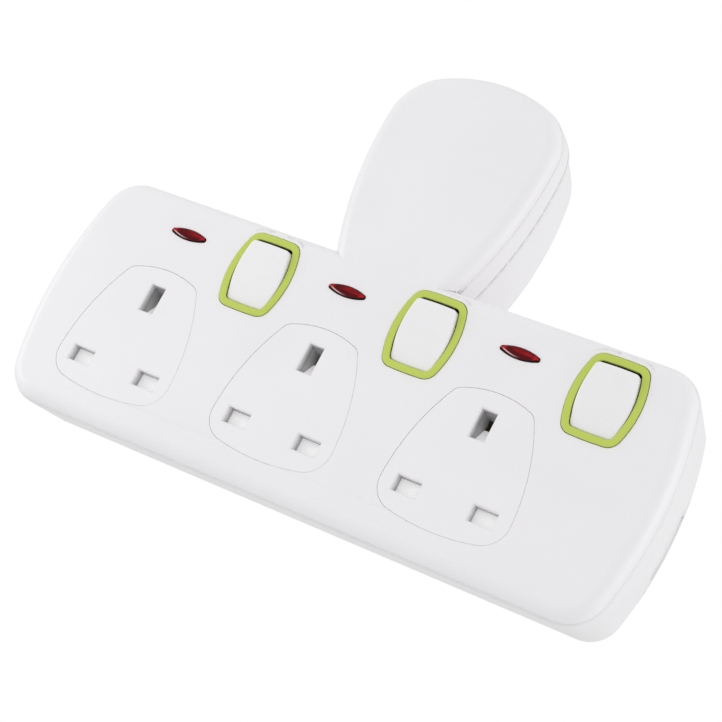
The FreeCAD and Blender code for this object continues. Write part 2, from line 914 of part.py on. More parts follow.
def rear_shell():
    floor = S["bar_back"] + S["floor_wall"]
    lip_top = S["parting"] + S["lip_height"]
    back = new_body("rear_bar")
    foot, rim = (bar_at(S[level], S["rim_step"]) for level in ("bar_back", "bar_parting"))
    plate = loft(back, foot, S["bar_back"], rim, S["bar_parting"])
    fillet(back, edges_at(plate, S["bar_back"]), S["bar_back_round"])
    bar_lip = new_body("rear_bar_lip")
    lip_inset = S["ledge"] + S["side_wall"] + S["lip_gap"]
    low = S["bar_parting"]
    pad(bar_lip, bar_at(low, lip_inset), low - S["stock"], low + S["lip_height"])
    head_lip = new_body("rear_head_lip")
    pad(head_lip, head.grown(-S["side_wall"] - S["lip_gap"]), S["parting"] - S["rim_height"], lip_top)
    bar_room = new_body("rear_bar_room")
    inset = lip_inset + S["lip_wall"]
    loft(bar_room, bar_at(floor, inset), floor, bar_at(lip_top, inset), lip_top)
    plug_room = new_body("rear_plug_room")
    inset = S["side_wall"] + S["lip_gap"] + S["lip_wall"]
    loft(plug_room, plug.grown(-inset), S["plug_wall"], head.grown(-inset), lip_top)
    wide = S["neck_room"]
    link = block("rear_link", -wide, wide, floor, lip_top, S["head_foot"], S["bar_top"])
    solids = fused("rear_block", [back, plug_block("rear_plug"), bar_lip, head_lip])
    shell = cut("rear_hollowed", solids, [bar_room, plug_room, link])
    posts = [shell]
    holes = []
    for number, (x, z) in enumerate(SCREWS + HEAD_SCREWS, 1):
        base = floor if number <= len(SCREWS) else S["plug_wall"]
        posts.append(rod(f"rear_post_{number}", x, z, S["post_radius"], base - S["stock"], S["post_top"]))
        through = S["screw_radius"] + S["screw_clear"]
        holes.append(rod(f"rear_screw_hole_{number}", x, z, through, S["seat_height"], S["post_top"]))
        sink = S["screw_head_radius"] + S["screw_clear"]
        holes.append(rod(f"rear_sink_{number}", x, z, sink, -S["stock"], S["seat_height"]))
    for number, (x, z, layer) in enumerate(SUPPORTS, 1):
        posts.append(rod(f"rear_support_{number}", x, z, S["support_radius"], floor - S["stock"], layer))
    for name, x, z, half_width, half_height in PIN_HOLES:
        gap = S["pin_gap"]
        holes.append(block(f"{name}_hole", x - half_width - gap, x + half_width + gap, -S["stock"],
                           S["plug_wall"], z - half_height - gap, z + half_height + gap))
    half_width, half_height = CARRIER_HALF
    gap = S["carrier_gap"]
    holes.append(block("carrier_hole", -half_width - gap, half_width + gap, -S["stock"], S["plug_wall"],
                       S["fuse_line"] - half_height - gap, S["fuse_line"] + half_height + gap))
    return piece(cut("rear_finished", fused("rear_with_posts", posts), holes), "rear_shell")


def case_screw(number, x, z):
    body = new_body(f"screw_{number}")
    seat = S["seat_height"]
    pad(body, Ring(ZERO, ZERO, S["screw_head_radius"]), seat - S["screw_head"], seat)
    pad(body, Ring(ZERO, ZERO, S["screw_radius"] - S["running_gap"]), seat, seat + S["screw_length"])
    arm = S["screw_head_radius"] * 0.6
    drive = S["screw_drive"] / 2
    low = seat - S["screw_head"]
    pocket(body, centred(ZERO, ZERO, arm, drive), low, low + S["screw_drive"])
    pocket(body, centred(ZERO, ZERO, drive, arm), low, low + S["screw_drive"])
    piece(place(body, x, ZERO, z), f"case_screw_{number}")


# Sockets and shutters


def socket_insert(index):
    body = new_body(f"insert_{index}")
    base = FACE - S["insert_thick"]
    pad(body, insert.grown(S["flange"]), base, INNER_FACE)
    slab = pad(body, insert, base, FACE)
    fillet(body, edges_at(slab, FACE), S["arris"])
    spacing, rise = S["pin_half_spacing"], S["earth_rise"]
    holes = [
        centred(spacing, ZERO, S["power_hole_width"] / 2, S["power_hole_height"] / 2),
        centred(-spacing, ZERO, S["power_hole_width"] / 2, S["power_hole_height"] / 2),
        centred(ZERO, rise, S["earth_hole_width"] / 2, S["earth_hole_height"] / 2),
    ]
    holed = pocket(body, holes, base, FACE)
    limit = (rise + S["earth_hole_height"]).value
    low = -S["power_hole_height"].value

    def near_hole(edge):
        box = edge.BoundBox
        return box.ZMin > low and box.ZMax < limit and edge.Length < S["pin_half_spacing"].value

    chamfer(body, edges_at(holed, FACE, near_hole), S["lead_in"])
    lip_low = SHUTTER_LOW - S["shutter_gap"] - S["rail_lip_thick"]
    inner = S["shutter_half_width"] + S["shutter_gap"]
    stop = S["shutter_half_width"] - S["stop_inset"]
    stop_low = S["shutter_high"] + S["coil_gap"]
    for side in (1, -1):
        rail = sided(side, inner, inner + S["rail_wall"])
        pad(body, rectangle(*rail, S["rail_low"], S["rail_high"]), lip_low, base)
        lip = sided(side, inner - S["rail_lip"], inner)
        pad(body, rectangle(*lip, S["rail_low"], S["rail_high"]), lip_low, lip_low + S["rail_lip_thick"])
        block_x = sided(side, stop - S["stop_width"], stop)
        pad(body, rectangle(*block_x, stop_low, stop_low + S["stop_height"]), SHUTTER_LOW, base)
    peg = centred(ZERO, S["peg_low"] + S["peg_height"] / 2, S["peg_half_width"], S["peg_height"] / 2)
    pad(body, peg, SHUTTER_LOW - S["shutter_gap"], base)
    piece(place(body, socket_x(index), ZERO, S["socket_line"]), f"socket_insert_{index}")


def sided(side, near, far):
    """A stretch between two distances from the middle, on the left or on the right."""
    return (near, far) if side > 0 else (-far, -near)


def shutter(index):
    body = new_body(f"shutter_part_{index}")
    wide = rectangle(-S["shutter_half_width"], S["shutter_half_width"], S["shutter_low"], S["shutter_high"])
    pad(body, wide, SHUTTER_LOW, SHUTTER_TOP)
    stem = rectangle(-S["stem_half_width"], S["stem_half_width"], ZERO, S["stem_top"])
    pad(body, stem, SHUTTER_LOW, SHUTTER_TOP)
    foot = S["stem_top"] - S["strip"]
    tip = SHUTTER_TOP - S["ramp_depth"]
    ramp = Polygon((
        (-SHUTTER_TOP, foot),
        (-SHUTTER_LOW, foot),
        (S["ramp_tip"] - tip, S["ramp_end"]),
        (-tip, S["ramp_end"]),
        (-SHUTTER_TOP, S["ramp_start"]),
    ))
    cross_pad(body, ramp, S["ramp_half_width"] * 2)
    window_low = S["peg_low"] - S["shutter_gap"]
    window = rectangle(-S["window_half_width"], S["window_half_width"], window_low, S["window_top"])
    pocket(body, window, SHUTTER_LOW, SHUTTER_TOP)
    piece(place(body, socket_x(index), ZERO, S["socket_line"]), f"shutter_{index}")


def coil(name, radius, pitch, length):
    """A round wire wound about the body's own Z axis, from zero up to a length."""
    body = new_body(name)
    wire = S["coil_wire"]
    sketch = new_sketch(body, [Ring(radius, wire, wire)], ZERO)
    helix = body.newObject("PartDesign::AdditiveHelix", f"{name}_helix")
    helix.Profile = sketch
    helix.ReferenceAxis = (sketch, ["V_Axis"])
    helix.Mode = 0
    bind(helix, "Pitch", pitch)
    bind(helix, "Height", length - wire * 2)
    return body


def shutter_spring(index):
    low = S["peg_low"] + S["peg_height"] + S["coil_gap"]
    length = S["window_top"] - low - S["coil_gap"]
    body = coil(f"shutter_coil_{index}", S["coil_radius"], S["coil_pitch"], length)
    middle = SHUTTER_TOP - S["coil_radius"] - S["coil_gap"] * 2
    place(body, socket_x(index), middle, S["socket_line"] + low)
    piece(body, f"shutter_spring_{index}")


# Switches


def switch_bezel(index):
    body = new_body(f"bezel_{index}")
    low, high = FACE - S["bezel_depth"], FACE + S["bezel_proud"]
    ring = pad(body, bezel, low, high)
    fillet(body, edges_at(ring, high), S["bezel_edge"])
    hollow = pocket(body, well, low, high)
    wall = S["bezel_band"].value - S["bezel_edge"].value
    inner_x = S["bezel_half_width"].value - wall
    inner_z = S["bezel_half_height"].value - wall

    def inner(edge):
        box = edge.BoundBox
        return max(abs(box.XMin), abs(box.XMax)) < inner_x and max(abs(box.ZMin), abs(box.ZMax)) < inner_z

    fillet(body, edges_at(hollow, high, inner), S["bezel_edge"])
    flange_x = S["bezel_half_width"] + S["flange"]
    flange_low = -(S["bezel_half_height"] + S["flange"])
    under = FACE - S["insert_thick"]
    reach = S["bezel_half_width"] - S["bezel_edge"]
    for side in (1, -1):
        ear = sided(side, reach, flange_x)
        pad(body, rectangle(*ear, flange_low, S["bezel_half_height"] / 2), under, INNER_FACE)
    foot = rectangle(-flange_x, flange_x, flange_low, -S["bezel_half_height"] + S["bezel_edge"] * 2)
    pad(body, foot, under, INNER_FACE)
    bore = Ring(-PIVOT, ZERO, S["trunnion_radius"] + S["running_gap"])
    cross_pad(body, bore, (TRUNNION_END + S["running_gap"]) * 2, cutting=True)
    piece(place(body, switch_x(index), ZERO, S["switch_line"]), f"switch_bezel_{index}")


def rocker(index):
    body = new_body(f"rocker_part_{index}")
    top = S["rocker_pivot_depth"] + S["rocker_rise"]
    paddle = well.grown(-S["rocker_gap"])
    spare = S["rocker_end_gap"] - S["rocker_gap"]
    paddle = replace(paddle, top=paddle.top - spare, foot=paddle.foot + spare)
    cap = pad(body, paddle, -S["rocker_skirt"], top)
    fillet(body, edges_at(cap, top), S["rocker_edge"])
    room = centred(ZERO, ZERO, paddle.half_width - S["rocker_wall"], paddle.top - S["rocker_wall"])
    pocket(body, room, -S["rocker_skirt"], top - S["rocker_top_wall"])
    pad(body, Ring(ZERO, ZERO, S["stem_radius"]), -S["stem_length"], top - S["rocker_top_wall"] / 2)
    cross_pad(body, Ring(ZERO, ZERO, S["trunnion_radius"]), TRUNNION_END * 2)
    bore = S["plunger_radius"] + S["plunger_gap"]
    pocket(body, Ring(ZERO, ZERO, bore), -S["stem_length"], S["bore_end"])
    tilt = S["rocker_tilt"].value
    piece(place(body, switch_x(index), PIVOT, S["switch_line"], turn=tilt), f"rocker_{index}")


def rocker_plunger(index):
    body = new_body(f"plunger_{index}")
    low = -S["plunger_reach"]
    tip = pad(body, Ring(ZERO, ZERO, S["plunger_radius"]), low, low + S["plunger_length"])
    fillet(body, edges_at(tip, low), S["plunger_radius"] * 0.8)
    tilt = S["rocker_tilt"].value
    piece(place(body, switch_x(index), PIVOT, S["switch_line"], turn=tilt), f"rocker_plunger_{index}")


def plunger_spring(index):
    low = S["plunger_length"] - S["plunger_reach"] + S["coil_gap"]
    length = S["bore_end"] - low - S["coil_gap"]
    body = coil(f"plunger_coil_{index}", S["small_coil_radius"], S["small_coil_pitch"], length)
    tilt = S["rocker_tilt"].value
    angle = math.radians(tilt)
    turned = FreeCAD.Rotation(FreeCAD.Vector(1, 0, 0), 90 + tilt)
    body.Placement = FreeCAD.Placement(FreeCAD.Vector(0, 0, 0), turned)
    bind(body, "Placement.Base.x", switch_x(index))
    bind(body, "Placement.Base.y", -PIVOT - low * math.cos(angle))
    bind(body, "Placement.Base.z", S["switch_line"] - low * math.sin(angle))
    piece(body, f"plunger_spring_{index}")


def rocker_contact(index):
    body = new_body(f"blade_{index}")
    low = -S["blade_rise"]
    pad(body, centred(ZERO, ZERO, S["blade_half_width"], S["blade_half_length"]), low, low + S["strip"])
    pad(body, Ring(ZERO, S["pip_offset"], S["pip_radius"]), low - S["pip_height"], low)
    cross_pad(body, Ring(ZERO, ZERO, S["ear_radius"]), S["ear_reach"] * 2)
    tilt = -S["rocker_tilt"].value
    piece(place(body, switch_x(index), BLADE_PIVOT, S["switch_line"], turn=tilt), f"rocker_contact_{index}")


# Neon indicators


def neon_lens(index):
    body = new_body(f"lens_{index}")
    base = INNER_FACE - S["lens_flange_thick"]
    top = FACE + S["lens_proud"]
    cap = pad(body, lens, base, top)
    fillet(body, edges_at(cap, top), S["lens_edge"])
    pad(body, lens.grown(S["lens_flange"]), base, INNER_FACE)
    for side in (1, -1):
        cheek = sided(side, S["lamp_radius"] + S["running_gap"], S["lens_half_height"] + S["lens_flange"])
        wall = rectangle(-S["cradle_half_length"], S["cradle_half_length"], *cheek)
        pad(body, wall, base - S["cradle_depth"], base)
    piece(place(body, lens_x(index), ZERO, S["lens_line"]), f"neon_lens_{index}")


def neon_lamp(index):
    body = new_body(f"lamp_{index}")
    middle = INNER_FACE - S["lens_flange_thick"] - S["lamp_gap"] - S["lamp_radius"]
    cross_pad(body, Ring(-middle, ZERO, S["lamp_radius"]), S["lamp_length"])
    piece(place(body, lens_x(index), ZERO, S["lens_line"]), f"neon_lamp_{index}")


# Conductors


def conductor(name, runs):
    """One bent strip: blocks that each touch the ones before them."""
    body = new_body(f"{name}_part")
    for left, right, bottom, top, low, high in runs:
        pad(body, rectangle(left, right, bottom, top), low, high)
    return body


def power_clip(x, layer):
    """Base and two leaves that grip a flat pin from above and below."""
    z = S["socket_line"]
    half, near, far = S["clip_half_width"], S["clip_half_gap"], S["clip_half_gap"] + S["strip"]
    runs = [(x - half, x + half, z - far, z + far, layer, layer + S["strip"])]
    for side in (1, -1):
        low, high = sided(side, near, far)
        runs.append((x - half, x + half, z + low, z + high, layer, S["clip_top"]))
    return runs


def earth_clip(x):
    """Base and two leaves that grip the tall pin from its sides."""
    z = EARTH_LINE
    half, near, far = S["clip_half_width"], S["clip_half_gap"], S["clip_half_gap"] + S["strip"]
    runs = []
    for side in (1, -1):
        left, right = sided(side, near, far)
        runs.append((x + left, x + right, z - half, z + half, S["earth_layer"], S["earth_clip_top"]))
    return runs


def neutral_bus():
    layer, thick, half = S["neutral_layer"], S["strip"], S["bus_width"] / 2
    line, spacing = S["neutral_line"], S["pin_half_spacing"]
    ends = [socket_x(index) - spacing for index in (1, 3)]
    wide = S["clip_half_width"]
    runs = [(ends[0] - wide, ends[1] + wide, line - half, line + half, layer, layer + thick)]
    run_x, neck = S["neutral_run_x"], S["neutral_neck_z"]
    runs.append((run_x - half, run_x + half, line, neck, layer, layer + thick))
    runs.append((run_x - half, -spacing + half, neck - half, neck + half, layer, layer + thick))
    runs.append((-spacing - half, -spacing + half, neck, half, layer, layer + thick))
    for index in NUMBERS:
        x = socket_x(index) - spacing
        runs.append((x - wide, x + wide, line, S["socket_line"], layer, layer + thick))
        runs.extend(power_clip(x, layer))
    piece(conductor("neutral", runs), "neutral_bus")


def earth_bus():
    layer, thick, half = S["earth_layer"], S["strip"], S["bus_width"] / 2
    ends = [socket_x(index) for index in (1, 3)]
    wide = S["clip_half_width"] + S["strip"]
    deep = S["earth_bus_half"]
    runs = [(ends[0] - wide, ends[1] + wide, EARTH_LINE - deep, EARTH_LINE + deep, layer, layer + thick)]
    drop, neck, jog, rise = S["earth_drop"], S["earth_neck"], S["earth_jog"], S["earth_rise"]
    runs.append((neck - half, neck + half, EARTH_LINE, jog + half, layer, layer + thick))
    runs.append((drop - half, neck + half, jog - half, jog + half, layer, layer + thick))
    runs.append((drop - half, drop + half, jog, rise + half, layer, layer + thick))
    runs.append((drop, half, rise - half, rise + half, layer, layer + thick))
    for index in NUMBERS:
        runs.extend(earth_clip(socket_x(index)))
    piece(conductor("earth", runs), "earth_bus")


def live_contact(index):
    layer, thick, half = S["live_layer"], S["strip"], S["bus_width"] / 2
    x, line = switch_x(index), S["socket_line"]
    clip = socket_x(index) + S["pin_half_spacing"]
    deep, inner = S["cheek_half_width"], S["cheek_inner"]
    outer = inner + S["strip"]
    z = S["switch_line"]
    runs = [(x - outer, x + outer, z - deep, z + deep, layer, layer + thick)]
    runs.append((x - half, x + half, line - half, z, layer, layer + thick))
    runs.append((clip, x + half, line - half, line + half, layer, layer + thick))
    runs.extend(power_clip(clip, layer))
    for side in (1, -1):
        left, right = sided(side, inner, outer)
        runs.append((x + left, x + right, z - deep, z + deep, layer, BLADE_PIVOT + S["pip_radius"]))
    body = conductor(f"live_{index}", runs)
    bore = S["ear_radius"] + S["running_gap"]
    tool = doc.addObject("Part::Cylinder", f"live_bore_{index}")
    bind(tool, "Radius", bore)
    bind(tool, "Height", outer * 2 + thick)
    tool.Placement = FreeCAD.Placement(FreeCAD.Vector(0, 0, 0), FreeCAD.Rotation(FreeCAD.Vector(0, 1, 0), 90))
    bind(tool, "Placement.Base.x", x - outer - thick / 2)
    bind(tool, "Placement.Base.y", -BLADE_PIVOT)
    bind(tool, "Placement.Base.z", z)
    piece(cut(f"live_drilled_{index}", body, [tool]), f"live_contact_{index}")


def live_bus():
    layer, thick, half = S["live_layer"], S["strip"], S["bus_width"] / 2
    line = S["live_line"]
    left, right = switch_x(1) - half, switch_x(3) + half
    body = conductor("live_bus", [(left, right, line - half, line + half, layer, layer + thick)])
    angle = math.radians(S["rocker_tilt"].value)
    reach = S["pip_offset"] + S["pip_radius"]
    drop = (S["blade_rise"] + S["pip_height"]) * math.cos(angle) + reach * math.sin(angle)
    z = S["switch_line"] + S["pip_offset"] * math.cos(angle)
    for index in NUMBERS:
        pad(body, Ring(switch_x(index), z, S["pip_radius"]), layer, BLADE_PIVOT - drop - S["post_gap"])
    piece(body, "live_bus")


# Plug pins, sleeves and fuse


def plug_pin(name, x, z, half_width, half_height, length, inner_end, sleeved):
    body = new_body(f"{name}_part")
    shape = centred(ZERO, ZERO, half_width, half_height)
    collar = centred(ZERO, ZERO, half_width + S["pin_head"], half_height + S["pin_head"])
    core = shape
    sleeve = S["sleeve_length"] if sleeved else ZERO
    if sleeved:
        core = centred(ZERO, ZERO, half_width - S["sleeve_wall"], half_height - S["sleeve_wall"])
    pad(body, collar, S["plug_wall"], S["plug_wall"] + S["pin_head_thick"])
    pad(body, shape, S["plug_wall"], inner_end)
    pad(body, core, -sleeve, S["plug_wall"])
    tip = pad(body, shape, -length, -sleeve)
    chamfer(body, edges_at(tip, -length), S["pin_tip"])
    piece(place(body, x, ZERO, z), name)


def pin_sleeve(name, x):
    body = new_body(f"{name}_part")
    half_width, half_height = S["pin_width"] / 2, S["pin_thick"] / 2
    wall = S["sleeve_wall"]
    pad(body, centred(ZERO, ZERO, half_width, half_height), -S["sleeve_length"], S["plug_wall"])
    pocket(body, centred(ZERO, ZERO, half_width - wall, half_height - wall), -S["sleeve_length"], S["plug_wall"])
    piece(place(body, x, ZERO, ZERO), name)


def fuse():
    body = new_body("fuse_part")
    cross_pad(body, Ring(-FUSE_HEIGHT, ZERO, S["fuse_radius"]), S["fuse_length"])
    waist = [
        Ring(-FUSE_HEIGHT, ZERO, S["fuse_radius"] + S["fuse_waist"]),
        Ring(-FUSE_HEIGHT, ZERO, S["fuse_radius"] - S["fuse_waist"]),
    ]
    cross_pad(body, waist, S["fuse_length"] - S["fuse_cap"] * 2, cutting=True)
    piece(place(body, ZERO, ZERO, S["fuse_line"]), "fuse")


def fuse_clip(name, side, far_z):
    """A strip that runs along Z over a pin and grips one fuse cap between two leaves."""
    outer = S["fuse_length"] / 2 - S["fuse_clip_inset"]
    left, right = sided(side, outer - S["fuse_clip_width"], outer)
    layer, thick = S["live_layer"], S["strip"]
    grip = S["fuse_radius"] + S["fuse_gap"]
    line = S["fuse_line"]
    x = side * S["pin_half_spacing"]
    half = S["link_half_width"]
    runs = [(left, right, line - grip - thick, line + grip + thick, layer, layer + thick)]
    runs.append((x - half, x + half, far_z, line - grip, layer, layer + thick))
    for way in (1, -1):
        low, high = sided(way, grip, grip + thick)
        runs.append((left, right, line + low, line + high, layer + thick - S["fuse_clip_deep"], layer + thick))
    piece(conductor(name, runs), name)


def fuse_carrier():
    body = new_body("carrier_part")
    half_width, half_height = CARRIER_HALF
    top = S["carrier_thick"]
    pad(body, centred(ZERO, ZERO, half_width, half_height), ZERO, top)
    reach = S["fuse_radius"] + S["fuse_gap"]
    half = S["carrier_rail_half_length"]
    for side in (1, -1):
        rail = sided(side, reach, reach + S["carrier_rail"])
        pad(body, rectangle(-half, half, *rail), top, top + S["carrier_rail_height"])
        rest = sided(side, half - S["carrier_rail"] * 2, half)
        pad(body, rectangle(*rest, -reach, reach), top, FUSE_HEIGHT - S["fuse_radius"] - S["fuse_gap"])
    slot = centred(ZERO, ZERO, S["carrier_slot_width"] / 2, S["carrier_slot_height"] / 2)
    pocket(body, slot, ZERO, top / 2)
    piece(place(body, ZERO, ZERO, S["fuse_line"]), "fuse_carrier")


# Build everything

EARTH_LINE = S["socket_line"] + S["earth_rise"]
SHUTTER_TOP = FACE - S["insert_thick"] - S["shutter_gap"]
SHUTTER_LOW = SHUTTER_TOP - S["shutter_thick"]
PIVOT = FACE - S["rocker_pivot_depth"]
TRUNNION_END = S["bezel_half_width"] - S["bezel_band"] + S["trunnion_length"]
BLADE_PIVOT = PIVOT - S["plunger_reach"] - S["blade_gap"] - S["strip"] + S["blade_rise"]
FUSE_HEIGHT = S["live_layer"] - S["fuse_gap"] - S["fuse_radius"]
CARRIER_HALF = (S["fuse_length"] / 2 + S["carrier_margin"], S["fuse_radius"] + S["carrier_margin"])
POWER_PIN = (S["pin_width"] / 2, S["pin_thick"] / 2)
EARTH_PIN = (S["earth_pin_width"] / 2, S["earth_pin_height"] / 2)
PIN_HOLES = [
    ("live_pin", S["pin_half_spacing"], ZERO, *POWER_PIN),
    ("neutral_pin", -S["pin_half_spacing"], ZERO, *POWER_PIN),
    ("earth_pin", ZERO, S["earth_rise"], *EARTH_PIN),
]

# Posts of the cover that press a strip down: x, z and the strip's layer
HOLD_DOWNS = [
    (ZERO, S["earth_rise"], S["earth_layer"]),
    (S["pin_half_spacing"], ZERO, S["live_layer"]),
    (S["neutral_run_x"], S["neutral_hold_z"], S["neutral_layer"]),
]
# Posts of the rear shell that carry a strip, an insert or a lens: x, z and the height of their top
SUPPORTS = []
for number in NUMBERS:
    at_socket, at_switch = socket_x(number), switch_x(number)
    under_insert = FACE - S["insert_thick"]
    if number < len(NUMBERS):
        HOLD_DOWNS.append((at_switch, S["neutral_line"], S["neutral_layer"]))
        HOLD_DOWNS.append((at_switch + S["hold_down_shift"], EARTH_LINE, S["earth_layer"]))
        SUPPORTS.append((at_switch, S["neutral_line"], S["neutral_layer"]))
        SUPPORTS.append((at_switch + S["hold_down_shift"], EARTH_LINE, S["earth_layer"]))
    HOLD_DOWNS.append((at_switch, S["live_hold_z"], S["live_layer"]))
    SUPPORTS.append((at_switch, S["live_hold_z"], S["live_layer"]))
    HOLD_DOWNS.append((at_socket + S["live_hold_shift"], S["live_line"], S["live_layer"]))
    SUPPORTS.append((at_socket + S["pin_half_spacing"], S["socket_line"], S["live_layer"]))
    SUPPORTS.append((at_socket - S["pin_half_spacing"], S["socket_line"], S["neutral_layer"]))
    SUPPORTS.append((at_socket, EARTH_LINE, S["earth_layer"]))
    SUPPORTS.append((at_switch, S["switch_line"], S["live_layer"]))
    SUPPORTS.append((at_switch, S["live_line"], S["live_layer"]))
    for way in (1, -1):
        spot = at_socket + way * S["side_support_x"]
        SUPPORTS.append((spot, S["socket_line"] + S["side_support_z"], under_insert))
    SUPPORTS.append((at_socket, S["socket_line"] + S["top_support_z"], under_insert))
    lens_foot = S["lens_line"] - S["lamp_radius"] - S["running_gap"] - S["support_radius"]
    lens_base = INNER_FACE - S["lens_flange_thick"] - S["cradle_depth"]
    SUPPORTS.append((lens_x(number), lens_foot, lens_base))

front_cover()
rear_shell()
for number, (screw_x, screw_z) in enumerate(SCREWS + HEAD_SCREWS, 1):
    case_screw(number, screw_x, screw_z)
for number in NUMBERS:
    for make in (socket_insert, shutter, shutter_spring, switch_bezel, rocker, rocker_plunger,
                 plunger_spring, rocker_contact, neon_lens, neon_lamp, live_contact):
        make(number)
live_bus()
neutral_bus()
earth_bus()
plug_pin("live_pin", S["pin_half_spacing"], ZERO, *POWER_PIN, S["pin_length"], S["live_layer"], True)
plug_pin("neutral_pin", -S["pin_half_spacing"], ZERO, *POWER_PIN, S["pin_length"], S["neutral_layer"], True)
plug_pin("earth_pin", ZERO, S["earth_rise"], *EARTH_PIN, S["earth_pin_length"], S["earth_layer"], False)
pin_sleeve("live_pin_sleeve", S["pin_half_spacing"])
pin_sleeve("neutral_pin_sleeve", -S["pin_half_spacing"])
fuse()
fuse_clip("fuse_clip_in", 1, -S["link_half_width"])
fuse_clip("fuse_clip_out", -1, S["live_line"] + S["bus_width"] / 2)
fuse_carrier()
doc.recompute()

# Every object is checked before the files are written

faults = []
for one in doc.Objects:
    shape = getattr(one, "Shape", None)
    if {"Invalid", "Error"} & set(one.State):
        faults.append(f"{one.Name}: {one.State}")
    elif shape is not None and (shape.isNull() or not shape.isValid()):
        faults.append(f"{one.Name}: no valid shape")
for made in pieces:
    if not made.Shape.isNull() and len(made.Shape.Solids) != 1:
        faults.append(f"{made.Label}: {len(made.Shape.Solids)} solids")
if faults:
    raise RuntimeError("; ".join(faults))
os.makedirs("parts", exist_ok=True)
for made in pieces:
    made.Shape.exportStep(f"parts/{made.Label}.step")
print(f"{len(pieces)} pieces written")
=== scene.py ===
"""Looks of a plug-through mains adapter: three switched sockets on a bar below a rounded plug head."""

import json
import logging
from collections.abc import Mapping
from dataclasses import dataclass
from enum import Enum
from math import cos, radians, sin

import bmesh
import bpy
from mathutils import Matrix, Vector


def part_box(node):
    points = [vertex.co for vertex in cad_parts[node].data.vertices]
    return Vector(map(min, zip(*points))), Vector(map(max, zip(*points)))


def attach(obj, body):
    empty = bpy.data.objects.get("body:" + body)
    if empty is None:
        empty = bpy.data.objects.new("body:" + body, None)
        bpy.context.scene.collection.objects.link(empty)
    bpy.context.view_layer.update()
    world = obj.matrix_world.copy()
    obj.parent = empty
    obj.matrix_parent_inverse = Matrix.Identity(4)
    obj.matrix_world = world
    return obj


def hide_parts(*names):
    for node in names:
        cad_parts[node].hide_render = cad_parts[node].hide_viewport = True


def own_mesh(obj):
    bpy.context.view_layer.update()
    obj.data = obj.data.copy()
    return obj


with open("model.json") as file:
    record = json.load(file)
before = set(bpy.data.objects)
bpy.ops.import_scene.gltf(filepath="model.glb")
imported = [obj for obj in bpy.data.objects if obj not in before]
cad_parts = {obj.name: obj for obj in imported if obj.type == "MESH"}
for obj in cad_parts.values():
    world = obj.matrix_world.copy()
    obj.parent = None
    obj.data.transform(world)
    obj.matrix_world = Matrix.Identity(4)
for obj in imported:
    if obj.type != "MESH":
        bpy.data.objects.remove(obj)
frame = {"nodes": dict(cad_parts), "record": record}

LOG = logging.getLogger("adapter")
MM = 0.001
NUMBERS = (1, 2, 3)
# Points of a copied solid that lie closer than this become one
MERGE_DISTANCE = 0.002 * MM
# Edges of a copied solid that bend by more than this stay crisp
SHARP_ANGLE = radians(32.0)
# Value that a noise pattern lies around
PATTERN_MEAN = 0.5
# Sockets of the Mix node when it blends colours, where several share a name
MIX_FACTOR = 0
MIX_FIRST = 6
MIX_SECOND = 7
MIX_RESULT = 2

Colour = tuple[float, float, float]
Point = tuple[float, float, float]


@dataclass(frozen=True)
class Slope:
    """A smooth change of a result while a value goes from low to high.

    Args:
        low: value at which the change starts.
        high: value at which the change ends.
        start: result below low.
        end: result above high.
    """

    low: float
    high: float
    start: float = 0.0
    end: float = 1.0


class Shade:
    """A shader socket that can be used in Python expressions."""

    def __init__(self, tree: bpy.types.NodeTree, socket: bpy.types.NodeSocket) -> None:
        """Wrap one output socket of a tree."""
        self.tree = tree
        self.socket = socket

    def _math(self, operation: str, *values: "Shade | float") -> "Shade":
        """Add one Math node."""
        return add_node(self.tree, "ShaderNodeMath", {"operation": operation}, dict(enumerate(values)))

    def __add__(self, other: "Shade | float") -> "Shade":
        """Sum."""
        return self._math("ADD", self, other)

    def __radd__(self, other: float) -> "Shade":
        """Sum with a number on the left."""
        return self._math("ADD", other, self)

    def __sub__(self, other: "Shade | float") -> "Shade":
        """Difference."""
        return self._math("SUBTRACT", self, other)

    def __rsub__(self, other: float) -> "Shade":
        """Difference from a number on the left."""
        return self._math("SUBTRACT", other, self)

    def __mul__(self, other: "Shade | float") -> "Shade":
        """Product."""
        return self._math("MULTIPLY", self, other)

    def __rmul__(self, other: float) -> "Shade":
        """Product with a number on the left."""
        return self._math("MULTIPLY", other, self)

    def __gt__(self, other: "Shade | float") -> "Shade":
        """One where this is greater, else zero."""
        return self._math("GREATER_THAN", self, other)

    def magnitude(self) -> "Shade":
        """Distance from zero."""
        return self._math("ABSOLUTE", self)

    def larger(self, other: "Shade | float") -> "Shade":
        """The larger of two values."""
        return self._math("MAXIMUM", self, other)

    def around(self, mean: float, spread: float) -> "Shade":
        """Move a noise pattern so that it lies around a mean, over a spread."""
        return mean + spread * (self - PATTERN_MEAN)

    def ramp(self, slope: Slope) -> "Shade":
        """Run smoothly along a slope.

        Args:
            slope: what this value is turned into.

        Returns:
            The ramped value.
        """
        settings = {"interpolation_type": "SMOOTHSTEP"}
        inputs = {
            "Value": self,
            "From Min": slope.low,
            "From Max": slope.high,
            "To Min": slope.start,
            "To Max": slope.end,
        }
        return add_node(self.tree, "ShaderNodeMapRange", settings, inputs)


